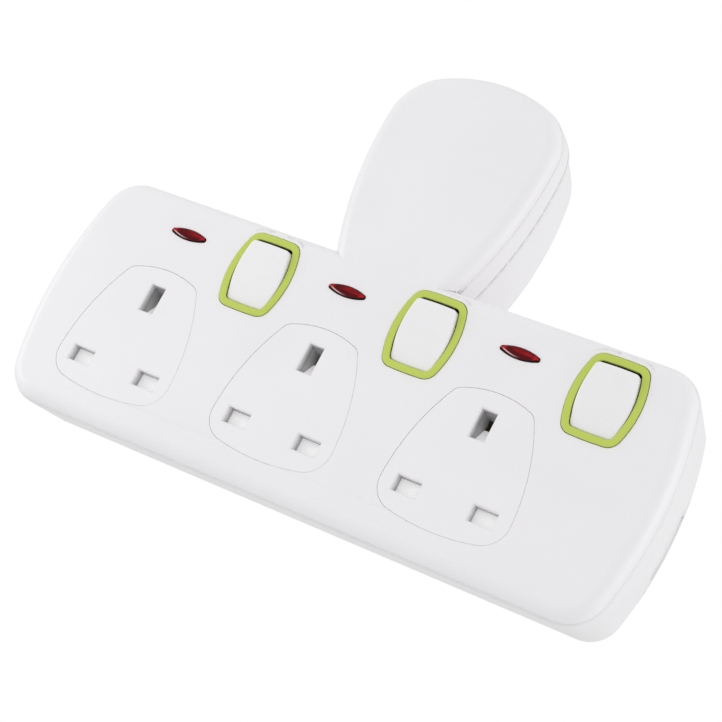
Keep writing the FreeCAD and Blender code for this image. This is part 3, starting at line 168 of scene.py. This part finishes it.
def add_node(
    tree: bpy.types.NodeTree,
    kind: str,
    settings: Mapping[str, object] | None = None,
    inputs: Mapping[str | int, object] | None = None,
    output: str | int = 0,
) -> Shade:
    """Add any node to a tree.

    Args:
        tree: the node tree.
        kind: the node's type name.
        settings: properties of the node, set before its sockets.
        inputs: values or links by socket name or number.
        output: the output socket that is handed back.

    Returns:
        The chosen output, wrapped. A node that has no output hands back its first input.
    """
    node = tree.nodes.new(kind)
    for name, value in (settings or {}).items():
        setattr(node, name, value)
    for name, value in (inputs or {}).items():
        if isinstance(value, Shade):
            tree.links.new(value.socket, node.inputs[name])
        else:
            node.inputs[name].default_value = value
    return Shade(tree, node.outputs[output] if node.outputs else node.inputs[0])


def add_box(shape: bmesh.types.BMesh, low: Point, high: Point) -> None:
    """Add a box between two corners to a mesh.

    Args:
        shape: the mesh that is added to.
        low: the box's lowest corner.
        high: its highest corner.
    """
    near = Vector(low)
    far = Vector(high)
    turn = Matrix.Translation((near + far) / 2) @ Matrix.Diagonal((*(far - near), 1.0))
    bmesh.ops.create_cube(shape, size=1.0, matrix=turn)


def add_object(name: str, data: bpy.types.ID) -> bpy.types.Object:
    """Make an object and put it into the scene.

    Args:
        name: the object's name.
        data: its mesh, light or camera.

    Returns:
        The object.
    """
    made = bpy.data.objects.new(name, data)
    bpy.context.scene.collection.objects.link(made)
    return made


class Axis(Enum):
    """One axis of object space."""

    X = "X"
    Y = "Y"
    Z = "Z"


class Surface:
    """One material under construction, with the patterns that the finishes share."""

    def __init__(self, name: str) -> None:
        """Start an empty material.

        Args:
            name: the material's name.
        """
        self.material = bpy.data.materials.new(name)
        self.material.use_nodes = True
        self.tree = self.material.node_tree
        self.tree.nodes.clear()
        self.place = add_node(self.tree, "ShaderNodeTexCoord", output="Object")

    def along(self, axis: Axis) -> Shade:
        """Object coordinate along one axis, in metres."""
        return add_node(self.tree, "ShaderNodeSeparateXYZ", inputs={0: self.place}, output=axis.value)

    def noise(self, scale: float, detail: float = 2.0, place: Shade | None = None) -> Shade:
        """Cloudy pattern between 0 and 1.

        Args:
            scale: repeats per metre.
            detail: how many finer layers the pattern has.
            place: coordinates that it is read at, the piece's own if none are given.

        Returns:
            The pattern.
        """
        inputs = {"Vector": place or self.place, "Scale": scale, "Detail": detail}
        return add_node(self.tree, "ShaderNodeTexNoise", inputs=inputs)

    def stretched_noise(self, stretch: Point, scale: float) -> Shade:
        """Cloudy pattern drawn out along the axes that have the smaller numbers."""
        inputs = {"Vector": self.place, "Scale": stretch}
        return self.noise(scale, place=add_node(self.tree, "ShaderNodeMapping", inputs=inputs))

    def mix(self, factor: Shade, first: Shade | Colour, second: Shade | Colour) -> Shade:
        """Blend two colours, plain or patterned.

        Args:
            factor: share of the second colour.
            first: the first colour.
            second: the second colour.

        Returns:
            The blended colour.
        """
        settings = {"data_type": "RGBA"}
        pair = [tone if isinstance(tone, Shade) else (*tone, 1.0) for tone in (first, second)]
        inputs = {MIX_FACTOR: factor, MIX_FIRST: pair[0], MIX_SECOND: pair[1]}
        return add_node(self.tree, "ShaderNodeMix", settings, inputs, output=MIX_RESULT)

    def relief(self, height: Shade, distance: float) -> Shade:
        """Bumped normal from a height pattern between 0 and 1 that is this deep, in metres."""
        inputs = {"Height": height, "Distance": distance, "Strength": 1.0}
        return add_node(self.tree, "ShaderNodeBump", inputs=inputs)

    def finish(self, **sockets: object) -> bpy.types.Material:
        """Close the material with a Principled shader.

        Args:
            sockets: socket values or links, with underscores for the spaces in their names.

        Returns:
            The finished material.
        """
        inputs = {name.replace("_", " "): value for name, value in sockets.items()}
        shader = add_node(self.tree, "ShaderNodeBsdfPrincipled", inputs=inputs)
        add_node(self.tree, "ShaderNodeOutputMaterial", inputs={"Surface": shader})
        return self.material


@dataclass(frozen=True)
class Moulding:
    """Injection-moulded plastic: a faint flow pattern, fine spark grain, uneven gloss, and painted shade
    and glow where asked.

    Args:
        name: the material's name.
        colour: the plain colour.
        shade: the colour where the flow pattern is strong.
        roughness: the mean roughness.
        painted_glow: how strongly the part glows with its own colour, painted light that lifts a part
            sunk in shade.
        painted_recess_shade: painted shade that darkens a hollow along Y, from 0 in front to the share
            that is lost at its back.
        unevenness: how far the roughness wanders.
        grain_depth: depth of the spark grain.
        grain_scale: repeats of the grain per metre.
        flow_scale: repeats of the flow pattern per metre.
        flow: how the flow pattern turns into the shade.
        gloss_scale: repeats of the uneven gloss per metre.
    """

    name: str
    colour: Colour
    shade: Colour
    roughness: float = 0.34
    painted_glow: float = 0.0
    painted_recess_shade: Slope | None = None
    unevenness: float = 0.05
    grain_depth: float = 0.012 * MM
    grain_scale: float = 2600.0
    flow_scale: float = 38.0
    flow: Slope = Slope(0.35, 0.7)
    gloss_scale: float = 120.0

    def build(self) -> bpy.types.Material:
        """Make the material.

        Returns:
            The material.
        """
        surface = Surface(self.name)
        cloud = surface.noise(self.flow_scale, detail=3.0)
        grain = surface.noise(self.grain_scale, detail=1.0)
        gloss = surface.noise(self.gloss_scale)
        colour = surface.mix(cloud.ramp(self.flow), self.colour, self.shade)
        # Painted shade: the colour falls toward black with depth in the hollow.
        if self.painted_recess_shade:
            colour = surface.mix(surface.along(Axis.Y).ramp(self.painted_recess_shade), colour, (0.0, 0.0, 0.0))
        return surface.finish(
            Base_Color=colour,
            Roughness=gloss.around(self.roughness, self.unevenness),
            Normal=surface.relief(grain, self.grain_depth),
            # Painted light: the part glows with its own colour.
            Emission_Color=colour,
            Emission_Strength=self.painted_glow,
        )


@dataclass(frozen=True)
class ClearLens:
    """Dark red clear plastic over a small lamp: deep red in the middle, where the dark inside shows
    through, with painted light toward both ends and above, painted shade that turns the rim black, and a
    painted highlight on the bevel below.

    The margin that some slopes go by is one in the middle of the oval and zero on its rim.

    Args:
        name: the material's name.
        centre: middle of the lens.
        half_length: half its length.
        half_height: half its height.
        deep: colour over the dark inside.
        bright: painted light, the colour toward both ends and above where the lens looks lit.
        black: painted shade, the colour of the rim.
        glint: painted highlight, the colour of the bevel where it catches the light.
        roughness: how clear its face is.
        specular: how much its face mirrors.
        lower_half: one below the middle, none above, by height in half heights.
        end_glow: painted light toward both ends, by distance from the middle in half lengths.
        streak_edge: rise of the painted light above, by margin.
        streak_length: rise of the painted light above from the left end to the right, in half lengths.
        glow_range: how the painted light turns into the bright colour.
        swirl_stretch: how the swirl in the plastic is drawn out.
        swirl_scale: repeats of the swirl per metre.
        swirl_share: how much the swirl adds to the glow.
        bevel_foot: rise of the painted highlight on the bevel, by margin.
        bevel_top: fall of the painted highlight on the bevel, by margin.
        bevel_length: fall of the painted highlight from the left end to the right, in half lengths.
        rim_edge: where the painted rim shade turns black, by margin.
        rim_growth: how much wider the painted rim shade is below.
    """

    name: str
    centre: Point
    half_length: float
    half_height: float
    deep: Colour = (0.085, 0.0030, 0.0060)
    bright: Colour = (0.50, 0.009, 0.014)
    black: Colour = (0.006, 0.001, 0.0015)
    glint: Colour = (0.86, 0.55, 0.56)
    roughness: float = 0.12
    specular: float = 0.12
    lower_half: Slope = Slope(-0.25, 0.05, 1.0, 0.0)
    end_glow: Slope = Slope(0.5, 0.85, 0.0, 0.85)
    streak_edge: Slope = Slope(0.1, 0.3)
    streak_length: Slope = Slope(-0.9, 0.5, 0.1, 0.5)
    glow_range: Slope = Slope(0.1, 1.0)
    swirl_stretch: Point = (0.2, 1.0, 1.0)
    swirl_scale: float = 1800.0
    swirl_share: float = 0.7
    bevel_foot: Slope = Slope(0.12, 0.22)
    bevel_top: Slope = Slope(0.26, 0.42, 1.0, 0.0)
    bevel_length: Slope = Slope(-0.6, 0.15, 0.9, 0.0)
    rim_edge: Slope = Slope(-0.06, 0.06, 1.0, 0.0)
    rim_growth: float = 0.1

    def build(self) -> bpy.types.Material:
        """Make the material.

        Returns:
            The material.
        """
        surface = Surface(self.name)
        along = (surface.along(Axis.X) - self.centre[0]) * (1.0 / self.half_length)
        upward = (surface.along(Axis.Z) - self.centre[2]) * (1.0 / self.half_height)
        margin = 1.0 - along * along - upward.magnitude()
        lower = upward.ramp(self.lower_half)
        swirl = surface.stretched_noise(self.swirl_stretch, self.swirl_scale)
        # Painted light: brighter toward both ends and along the upper half.
        ends = along.magnitude().ramp(self.end_glow)
        streak = (1.0 - lower) * margin.ramp(self.streak_edge) * along.ramp(self.streak_length)
        glow = ends.larger(streak) + swirl.around(0.0, self.swirl_share)
        body = surface.mix(glow.ramp(self.glow_range), self.deep, self.bright)
        # Painted highlight: a pale band along the lower bevel.
        band = margin.ramp(self.bevel_foot) * margin.ramp(self.bevel_top)
        lit = surface.mix(lower * band * along.ramp(self.bevel_length), body, self.glint)
        # Painted shade: the rim turns black, wider below.
        rim = (margin - lower * self.rim_growth).ramp(self.rim_edge)
        return surface.finish(
            Base_Color=surface.mix(rim, lit, self.black),
            Roughness=self.roughness,
            Specular_IOR_Level=self.specular,
        )


@dataclass(frozen=True)
class Metal:
    """Bare metal with drawn streaks and a thin tarnish.

    Args:
        name: the material's name.
        colour: the clean colour.
        tarnish: the colour of the tarnish.
        roughness: the mean roughness.
        unevenness: how far the roughness wanders.
        streak: how the streaks are drawn out.
        streak_scale: repeats of the streaks per metre.
        streak_depth: depth of the streaks.
        patch_scale: repeats of the tarnish per metre.
        patches: how the patch pattern turns into tarnish.
    """

    name: str
    colour: Colour
    tarnish: Colour
    roughness: float = 0.28
    unevenness: float = 0.14
    streak: Point = (1.0, 0.12, 1.0)
    streak_scale: float = 1500.0
    streak_depth: float = 0.008 * MM
    patch_scale: float = 160.0
    patches: Slope = Slope(0.45, 0.75, 0.0, 0.6)

    def build(self) -> bpy.types.Material:
        """Make the material.

        Returns:
            The material.
        """
        surface = Surface(self.name)
        streaks = surface.stretched_noise(self.streak, self.streak_scale)
        patches = surface.noise(self.patch_scale, detail=4.0)
        return surface.finish(
            Base_Color=surface.mix(patches.ramp(self.patches), self.colour, self.tarnish),
            Metallic=1.0,
            Roughness=streaks.around(self.roughness, self.unevenness),
            Normal=surface.relief(streaks, self.streak_depth),
        )


@dataclass(frozen=True)
class CartridgeFuse:
    """White ceramic tube with a plated metal cap at each end.

    Args:
        name: the material's name.
        ceramic: colour of the tube.
        metal: colour of the caps.
        cap_edge: distance from the middle at which the caps begin.
        roughness: the mean roughness.
        unevenness: how far the roughness wanders.
        speckle_scale: repeats of the speckle per metre.
        speckle_depth: depth of the speckle.
    """

    name: str
    ceramic: Colour
    metal: Colour
    cap_edge: float
    roughness: float = 0.3
    unevenness: float = 0.12
    speckle_scale: float = 900.0
    speckle_depth: float = 0.01 * MM

    def build(self) -> bpy.types.Material:
        """Make the material.

        Returns:
            The material.
        """
        surface = Surface(self.name)
        cap = surface.along(Axis.X).magnitude() > self.cap_edge
        speckle = surface.noise(self.speckle_scale, detail=3.0)
        return surface.finish(
            Base_Color=surface.mix(cap, self.ceramic, self.metal),
            Metallic=cap,
            Roughness=speckle.around(self.roughness, self.unevenness),
            Normal=surface.relief(speckle, self.speckle_depth),
        )


@dataclass(frozen=True)
class LampGlass:
    """Thin clear glass of the little neon tube.

    Args:
        name: the material's name.
        colour: tint of the glass.
        clear: share of the light that goes through the glass.
        solid: how solid the clearest glass looks.
        haze: how much more solid the haze is.
        roughness: roughness of the clearest glass, and what the haze adds to it.
        haze_scale: repeats of the haze per metre.
    """

    name: str
    colour: Colour
    clear: float = 0.85
    solid: float = 0.6
    haze: float = 0.1
    roughness: float = 0.05
    haze_scale: float = 400.0

    def build(self) -> bpy.types.Material:
        """Make the material.

        Returns:
            The material.
        """
        surface = Surface(self.name)
        haze = surface.noise(self.haze_scale)
        return surface.finish(
            Base_Color=(*self.colour, 1.0),
            Roughness=self.roughness + haze * self.roughness,
            Transmission_Weight=self.clear,
            Alpha=self.solid + haze * self.haze,
        )


Finish = Moulding | ClearLens | Metal | CartridgeFuse | LampGlass

# Painted shade: the slots lose half of their colour toward the shutter, and the wells round the rockers
# nearly all
SLOT_SHADE = Slope(-32.5 * MM, -29.9 * MM, end=0.5)
WELL_SHADE = Slope(-33.0 * MM, -32.4 * MM, end=0.96)

CASE_WHITE = Moulding(
    "case_white",
    colour=(0.838, 0.826, 0.842),
    shade=(0.824, 0.812, 0.829),
)
INSERT_WHITE = Moulding(
    "insert_white",
    colour=(0.840, 0.828, 0.845),
    shade=(0.827, 0.816, 0.832),
    roughness=0.38,
    # painted shade down the walls of the slots
    painted_recess_shade=SLOT_SHADE,
)
# Painted shade: the walls behind the earth slot are the insert's white plastic, painted mid grey as they
# stand in the slot's shadow.
GUIDE_SHADED_WHITE = Moulding(
    "guide_white_painted_shade",
    colour=(0.56, 0.555, 0.56),
    shade=(0.52, 0.515, 0.52),
    roughness=0.5,
)
# Painted light: the shutters are whiter than the other mouldings and glow, so that they stay bright in
# the shade of the slots.
SHUTTER_LIT_WHITE = Moulding(
    "shutter_white",
    colour=(0.93, 0.925, 0.93),
    shade=(0.90, 0.895, 0.90),
    roughness=0.45,
    painted_glow=0.27,
)
ROCKER_WHITE = Moulding(
    "rocker_white",
    colour=(0.850, 0.840, 0.853),
    shade=(0.837, 0.827, 0.840),
    roughness=0.28,
)
RING_LIME = Moulding(
    "ring_lime",
    colour=(0.525, 0.625, 0.104),
    shade=(0.495, 0.596, 0.092),
    roughness=0.26,
    # painted shade in the well round the rocker
    painted_recess_shade=WELL_SHADE,
)
SLEEVE_BLACK = Moulding(
    "sleeve_black",
    colour=(0.022, 0.022, 0.024),
    shade=(0.03, 0.03, 0.032),
    roughness=0.42,
)
PIN_BRASS = Metal("pin_brass", colour=(0.78, 0.66, 0.42), tarnish=(0.66, 0.52, 0.3), roughness=0.22)
STRIP_BRASS = Metal("strip_brass", colour=(0.75, 0.58, 0.28), tarnish=(0.55, 0.4, 0.2))
ZINC = Metal("zinc_plate", colour=(0.63, 0.63, 0.61), tarnish=(0.5, 0.5, 0.47), roughness=0.32)
SPRING = Metal("spring_wire", colour=(0.46, 0.46, 0.48), tarnish=(0.35, 0.34, 0.34), roughness=0.25)
FUSE = CartridgeFuse(
    "fuse_finish",
    ceramic=(0.8, 0.77, 0.7),
    metal=(0.7, 0.69, 0.66),
    cap_edge=6.7 * MM,
)
NEON = LampGlass("neon_glass", colour=(0.95, 0.9, 0.87))


class Workshop:
    """Finds bodies and slots, hands out each finish once and fits smooth skins over nodes."""

    def __init__(self) -> None:
        """Read which body and slot each node has."""
        record = frame["record"]
        bodies = record["behaviour"]["bodies"]
        self.body_of = {node: body for body, nodes in bodies.items() for node in nodes}
        self.slot_of = {part["node"]: part["material_slot"] for part in record["subparts"]}
        self.made: dict[str, bpy.types.Material] = {}
        self.finish_of: dict[str, str] = {}

    def material(self, finish: Finish) -> bpy.types.Material:
        """Build a finish the first time it is asked for.

        Args:
            finish: the finish.

        Returns:
            Its material.
        """
        if finish.name not in self.made:
            self.made[finish.name] = finish.build()
        return self.made[finish.name]

    def paint(self, piece: bpy.types.Object, finish: Finish) -> None:
        """Give every slot of a piece one finish.

        Args:
            piece: what is finished.
            finish: the finish.
        """
        material = self.material(finish)
        if not piece.data.materials:
            piece.data.materials.append(material)
        for number in range(len(piece.data.materials)):
            piece.data.materials[number] = material
        self.finish_of[piece.name] = finish.name

    def dress(self, node: str, finish: Finish) -> None:
        """Finish a carried node as it is."""
        self.paint(frame["nodes"][node], finish)

    def add(self, mesh: bpy.types.Mesh, beside: str, finish: Finish) -> bpy.types.Object:
        """Make a new piece that moves with a node.

        Args:
            mesh: the finished geometry, whose name the piece takes.
            beside: the node whose body it takes.
            finish: what it is made of.

        Returns:
            The piece.
        """
        piece = add_object(mesh.name, mesh)
        self.paint(piece, finish)
        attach(piece, self.body_of[beside])
        return piece

    def skin(self, node: str, finish: Finish) -> bpy.types.Object:
        """Stand a merged, smooth-shaded copy in for a node.

        Args:
            node: the carried node.
            finish: what the copy is made of.

        Returns:
            The copy.
        """
        mesh = frame["nodes"][node].data.copy()
        mesh.name = f"{node}_skin"
        shape = bmesh.new()
        shape.from_mesh(mesh)
        bmesh.ops.remove_doubles(shape, verts=shape.verts, dist=MERGE_DISTANCE)
        shape.to_mesh(mesh)
        shape.free()
        mesh.set_sharp_from_angle(angle=SHARP_ANGLE)
        piece = self.add(mesh, node, finish)
        weighted = piece.modifiers.new("even_normals", "WEIGHTED_NORMAL")
        weighted.keep_sharp = True
        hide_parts(node)
        return piece


@dataclass
class Case:
    """The two shells of the housing, the fuse carrier and the screws that hold the shells together."""

    shop: Workshop
    screws: int = 6

    def build(self) -> None:
        """Fit smooth skins over all of them."""
        for node in ("front_cover", "rear_shell", "fuse_carrier"):
            self.shop.skin(node, CASE_WHITE)
        for number in range(1, self.screws + 1):
            self.shop.skin(f"case_screw_{number}", ZINC)


@dataclass
class SocketPlace:
    """One socket: the insert with its three slots, the shutter behind it and the shutter's spring.

    Args:
        shop: where pieces are made.
        number: which socket, counted from the left.
        earth_up: height of the earth slot over the power slots.
        slot_half_width: half the width of the earth slot.
        slot_half_height: half its height.
        shutter_drop: from the lower edge of the shutter up to the power slots.
        shutter_travel: how far the shutter slides down; not used.
        seam_growth: how much wider the insert is made, so that the seam round it is finer.
        guide_wall: thickness of the walls behind the earth slot.
        guide_front: place along Y of the front of these walls.
        guide_back: place along Y of their back.
    """

    shop: Workshop
    number: int
    earth_up: float = 22.2 * MM
    slot_half_width: float = 2.25 * MM
    slot_half_height: float = 4.125 * MM
    shutter_drop: float = 2.95 * MM
    shutter_travel: float = 5.0 * MM
    seam_growth: float = 1.0032
    guide_wall: float = 0.7 * MM
    guide_front: float = -29.72 * MM
    guide_back: float = -24.75 * MM

    def build(self) -> None:
        """Fit the insert and the spring, add the earth guide and finish the shutter."""
        self._insert()
        self._guide()
        self.shop.dress(f"shutter_{self.number}", SHUTTER_LIT_WHITE)
        self._spring()

    def _insert(self) -> None:
        """Widen the insert a little about its middle, so that the seam round it is a fine, light line."""
        node = f"socket_insert_{self.number}"
        insert = self.shop.skin(node, INSERT_WHITE)
        low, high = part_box(node)
        middle = (low + high) / 2
        for vertex in insert.data.vertices:
            vertex.co.x = middle.x + (vertex.co.x - middle.x) * self.seam_growth
            vertex.co.z = middle.z + (vertex.co.z - middle.z) * self.seam_growth

    def _spring(self) -> None:
        """Fit a smooth skin over the return spring, with a mesh of its own."""
        node = f"shutter_spring_{self.number}"
        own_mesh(self.shop.skin(node, SPRING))

    def _guide(self) -> None:
        """Wall in the earth slot behind the face on the left, the right and above. It is open below,
        where the stem of the shutter passes."""
        shutter_low, shutter_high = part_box(f"shutter_{self.number}")
        middle = (shutter_low.x + shutter_high.x) / 2
        earth_line = shutter_low.z + self.shutter_drop + self.earth_up
        low = earth_line - self.slot_half_height
        high = earth_line + self.slot_half_height
        inner = self.slot_half_width
        outer = inner + self.guide_wall
        shape = bmesh.new()
        for left, right, foot, top in (
            (middle - outer, middle - inner, low, high),
            (middle + inner, middle + outer, low, high),
            (middle - outer, middle + outer, high, high + self.guide_wall),
        ):
            add_box(shape, (left, self.guide_front, foot), (right, self.guide_back, top))
        mesh = bpy.data.meshes.new(f"earth_guide_{self.number}")
        shape.to_mesh(mesh)
        shape.free()
        self.shop.add(mesh, f"socket_insert_{self.number}", GUIDE_SHADED_WHITE)


@dataclass
class SwitchPlace:
    """One switch: the bright ring, the rocker and the parts that the rocker drives.

    Args:
        shop: where pieces are made.
        number: which switch, counted from the left.
        tilt: lean of the rocker's face at rest.
        end_zone: distance from the middle of the cap, along its face, beyond which it is an end.
        end_growth: how far each end is drawn out.
    """

    shop: Workshop
    number: int
    tilt: float = radians(8.5)
    end_zone: float = 6.0 * MM
    end_growth: float = 0.35 * MM

    def build(self) -> None:
        """Fit smooth skins and finish the hidden parts."""
        self.shop.skin(f"switch_bezel_{self.number}", RING_LIME)
        self._rocker()
        self.shop.dress(f"rocker_plunger_{self.number}", ZINC)
        self.shop.dress(f"plunger_spring_{self.number}", SPRING)
        self.shop.dress(f"rocker_contact_{self.number}", STRIP_BRASS)

    def _rocker(self) -> None:
        """Draw the upper end of the cap up and the lower end down, so that little of the well shows."""
        rocker = self.shop.skin(f"rocker_{self.number}", ROCKER_WHITE)
        slope = Vector((0.0, -sin(self.tilt), cos(self.tilt)))
        reach = [vertex.co.dot(slope) for vertex in rocker.data.vertices]
        middle = (min(reach) + max(reach)) / 2
        for vertex, place in zip(rocker.data.vertices, reach):
            if abs(place - middle) > self.end_zone:
                vertex.co.z += self.end_growth if place > middle else -self.end_growth


@dataclass
class Indicator:
    """One neon indicator: the oval window and the tube behind it.

    Args:
        shop: where pieces are made.
        number: which indicator, counted from the left.
        half_length: half the length of the window.
        half_height: half its height.
    """

    shop: Workshop
    number: int
    half_length: float = 5.8 * MM
    half_height: float = 1.65 * MM

    def build(self) -> None:
        """Fit a smooth skin and finish the tube."""
        node = f"neon_lens_{self.number}"
        low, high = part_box(node)
        centre = tuple((low + high) / 2)
        finish = ClearLens(f"lens_red_{self.number}", centre, self.half_length, self.half_height)
        self.shop.skin(node, finish)
        self.shop.dress(f"neon_lamp_{self.number}", NEON)


@dataclass
class Wiring:
    """The brass strips inside, the plug pins with their sleeves, and the fuse."""

    shop: Workshop
    strips: tuple[str, ...] = ("live_bus", "neutral_bus", "earth_bus", "fuse_clip_in", "fuse_clip_out")
    pins: tuple[str, ...] = ("live_pin", "neutral_pin", "earth_pin")
    sleeves: tuple[str, ...] = ("live_pin_sleeve", "neutral_pin_sleeve")

    def build(self) -> None:
        """Finish each strip, pin and sleeve, and the fuse."""
        for node in self.strips:
            self.shop.dress(node, STRIP_BRASS)
        for number in NUMBERS:
            self.shop.dress(f"live_contact_{number}", STRIP_BRASS)
        for node in self.pins:
            self.shop.skin(node, PIN_BRASS)
        for node in self.sleeves:
            self.shop.dress(node, SLEEVE_BLACK)
        self.shop.dress("fuse", FUSE)


Part = Case | SocketPlace | SwitchPlace | Indicator | Wiring


@dataclass(frozen=True)
class Lamp:
    """One soft studio lamp.

    Args:
        name: the lamp's name.
        place: where it hangs.
        size: its width.
        power: its power in watts.
    """

    name: str
    place: Point
    size: float
    power: float


@dataclass
class Studio:
    """Floor, world, lamps and the camera.

    Args:
        eye: where the camera stands.
        right: direction that points right in the picture.
        up: direction that points up in the picture.
        lens: focal length in millimetres.
        sensor: width of the sensor in millimetres.
        near_limit: nearest distance that the camera sees.
        target: what the lamps are aimed at.
        floor_level: height of the floor.
        floor_size: width of the floor.
        floor_tones: darkest and lightest colour of the floor.
        floor_roughness: how matt the floor is.
        cloud_scale: repeats per metre of the floor's pattern.
        fill: strength of the white around the adapter as light.
        mirrored: its strength in reflections.
        lamps: the lamps.
    """

    eye: Point = (0.22796, -0.46960, -0.18006)
    right: Point = (0.84092, 0.29273, 0.45514)
    up: Point = (-0.31631, -0.41653, 0.85232)
    lens: float = 96.2
    sensor: float = 36.0
    near_limit: float = 0.01
    target: Point = (0.0, -0.02, -0.03)
    floor_level: float = -0.42
    floor_size: float = 12.0
    floor_tones: tuple[Colour, Colour] = ((0.81, 0.81, 0.81), (0.84, 0.84, 0.84))
    floor_roughness: float = 0.7
    cloud_scale: float = 3.0
    fill: float = 0.94
    mirrored: float = 0.72
    lamps: tuple[Lamp, ...] = (
        Lamp("left_lamp", (-0.75, -0.45, -0.06), size=0.6, power=1.55),
        Lamp("right_lamp", (1.7, 0.02, 0.35), size=1.2, power=4.7),
    )

    def build(self) -> None:
        """Put everything in place."""
        self._world()
        self._floor()
        for lamp in self.lamps:
            self._lamp(lamp)
        self._camera()

    def _world(self) -> None:
        """White to the camera and through clear parts, a little softer as light and softer still in
        reflections."""
        world = bpy.data.worlds.new("studio_world")
        bpy.context.scene.world = world
        world.use_nodes = True
        tree = world.node_tree
        tree.nodes.clear()
        camera, through, mirror = (
            add_node(tree, "ShaderNodeLightPath", output=f"Is {kind} Ray")
            for kind in ("Camera", "Transmission", "Glossy")
        )
        seen = camera.larger(through)
        strength = self.fill + seen * (1.0 - self.fill) - mirror * (self.fill - self.mirrored)
        inputs = {"Color": (1.0, 1.0, 1.0, 1.0), "Strength": strength}
        glow = add_node(tree, "ShaderNodeBackground", inputs=inputs)
        add_node(tree, "ShaderNodeOutputWorld", inputs={"Surface": glow})

    def _floor(self) -> None:
        """A pale floor well below the adapter, which hangs as it does on a wall."""
        shape = bmesh.new()
        bmesh.ops.create_grid(shape, x_segments=1, y_segments=1, size=self.floor_size / 2)
        bmesh.ops.translate(shape, verts=shape.verts, vec=(0.0, 0.0, self.floor_level))
        mesh = bpy.data.meshes.new("floor")
        shape.to_mesh(mesh)
        shape.free()
        surface = Surface("floor_white")
        tint = surface.mix(surface.noise(self.cloud_scale), *self.floor_tones)
        mesh.materials.append(surface.finish(Base_Color=tint, Roughness=self.floor_roughness))
        add_object("floor", mesh)

    def _lamp(self, lamp: Lamp) -> None:
        """Hang one lamp, aimed at the adapter.

        Args:
            lamp: the lamp.
        """
        light = bpy.data.lights.new(lamp.name, "AREA")
        light.shape = "DISK"
        light.size = lamp.size
        light.energy = lamp.power
        aim = Vector(self.target) - Vector(lamp.place)
        turn = aim.to_track_quat("-Z", "Y").to_matrix()
        holder = add_object(lamp.name, light)
        holder.matrix_world = Matrix.Translation(lamp.place) @ turn.to_4x4()

    def _camera(self) -> None:
        """Stand the camera where the photograph was taken from."""
        data = bpy.data.cameras.new("photo_camera")
        data.lens = self.lens
        data.sensor_width = self.sensor
        data.clip_start = self.near_limit
        backward = Vector(self.right).cross(Vector(self.up))
        turn = Matrix((self.right, self.up, backward)).transposed()
        camera = add_object("photo_camera", data)
        camera.matrix_world = Matrix.Translation(self.eye) @ turn.to_4x4()
        bpy.context.scene.camera = camera


def main() -> None:
    """Build every sub-assembly in order, then the studio."""
    logging.basicConfig(level=logging.INFO, format="%(message)s")
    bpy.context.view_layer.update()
    shop = Workshop()
    parts: list[Part] = [Case(shop)]
    for number in NUMBERS:
        parts.extend((SocketPlace(shop, number), SwitchPlace(shop, number), Indicator(shop, number)))
    parts.append(Wiring(shop))
    for part in parts:
        part.build()
    for piece, finish in shop.finish_of.items():
        LOG.info("%s: %s", piece, finish)
    Studio().build()
    bpy.context.scene.view_settings.view_transform = "Standard"


if __name__ == "__main__":
    main()
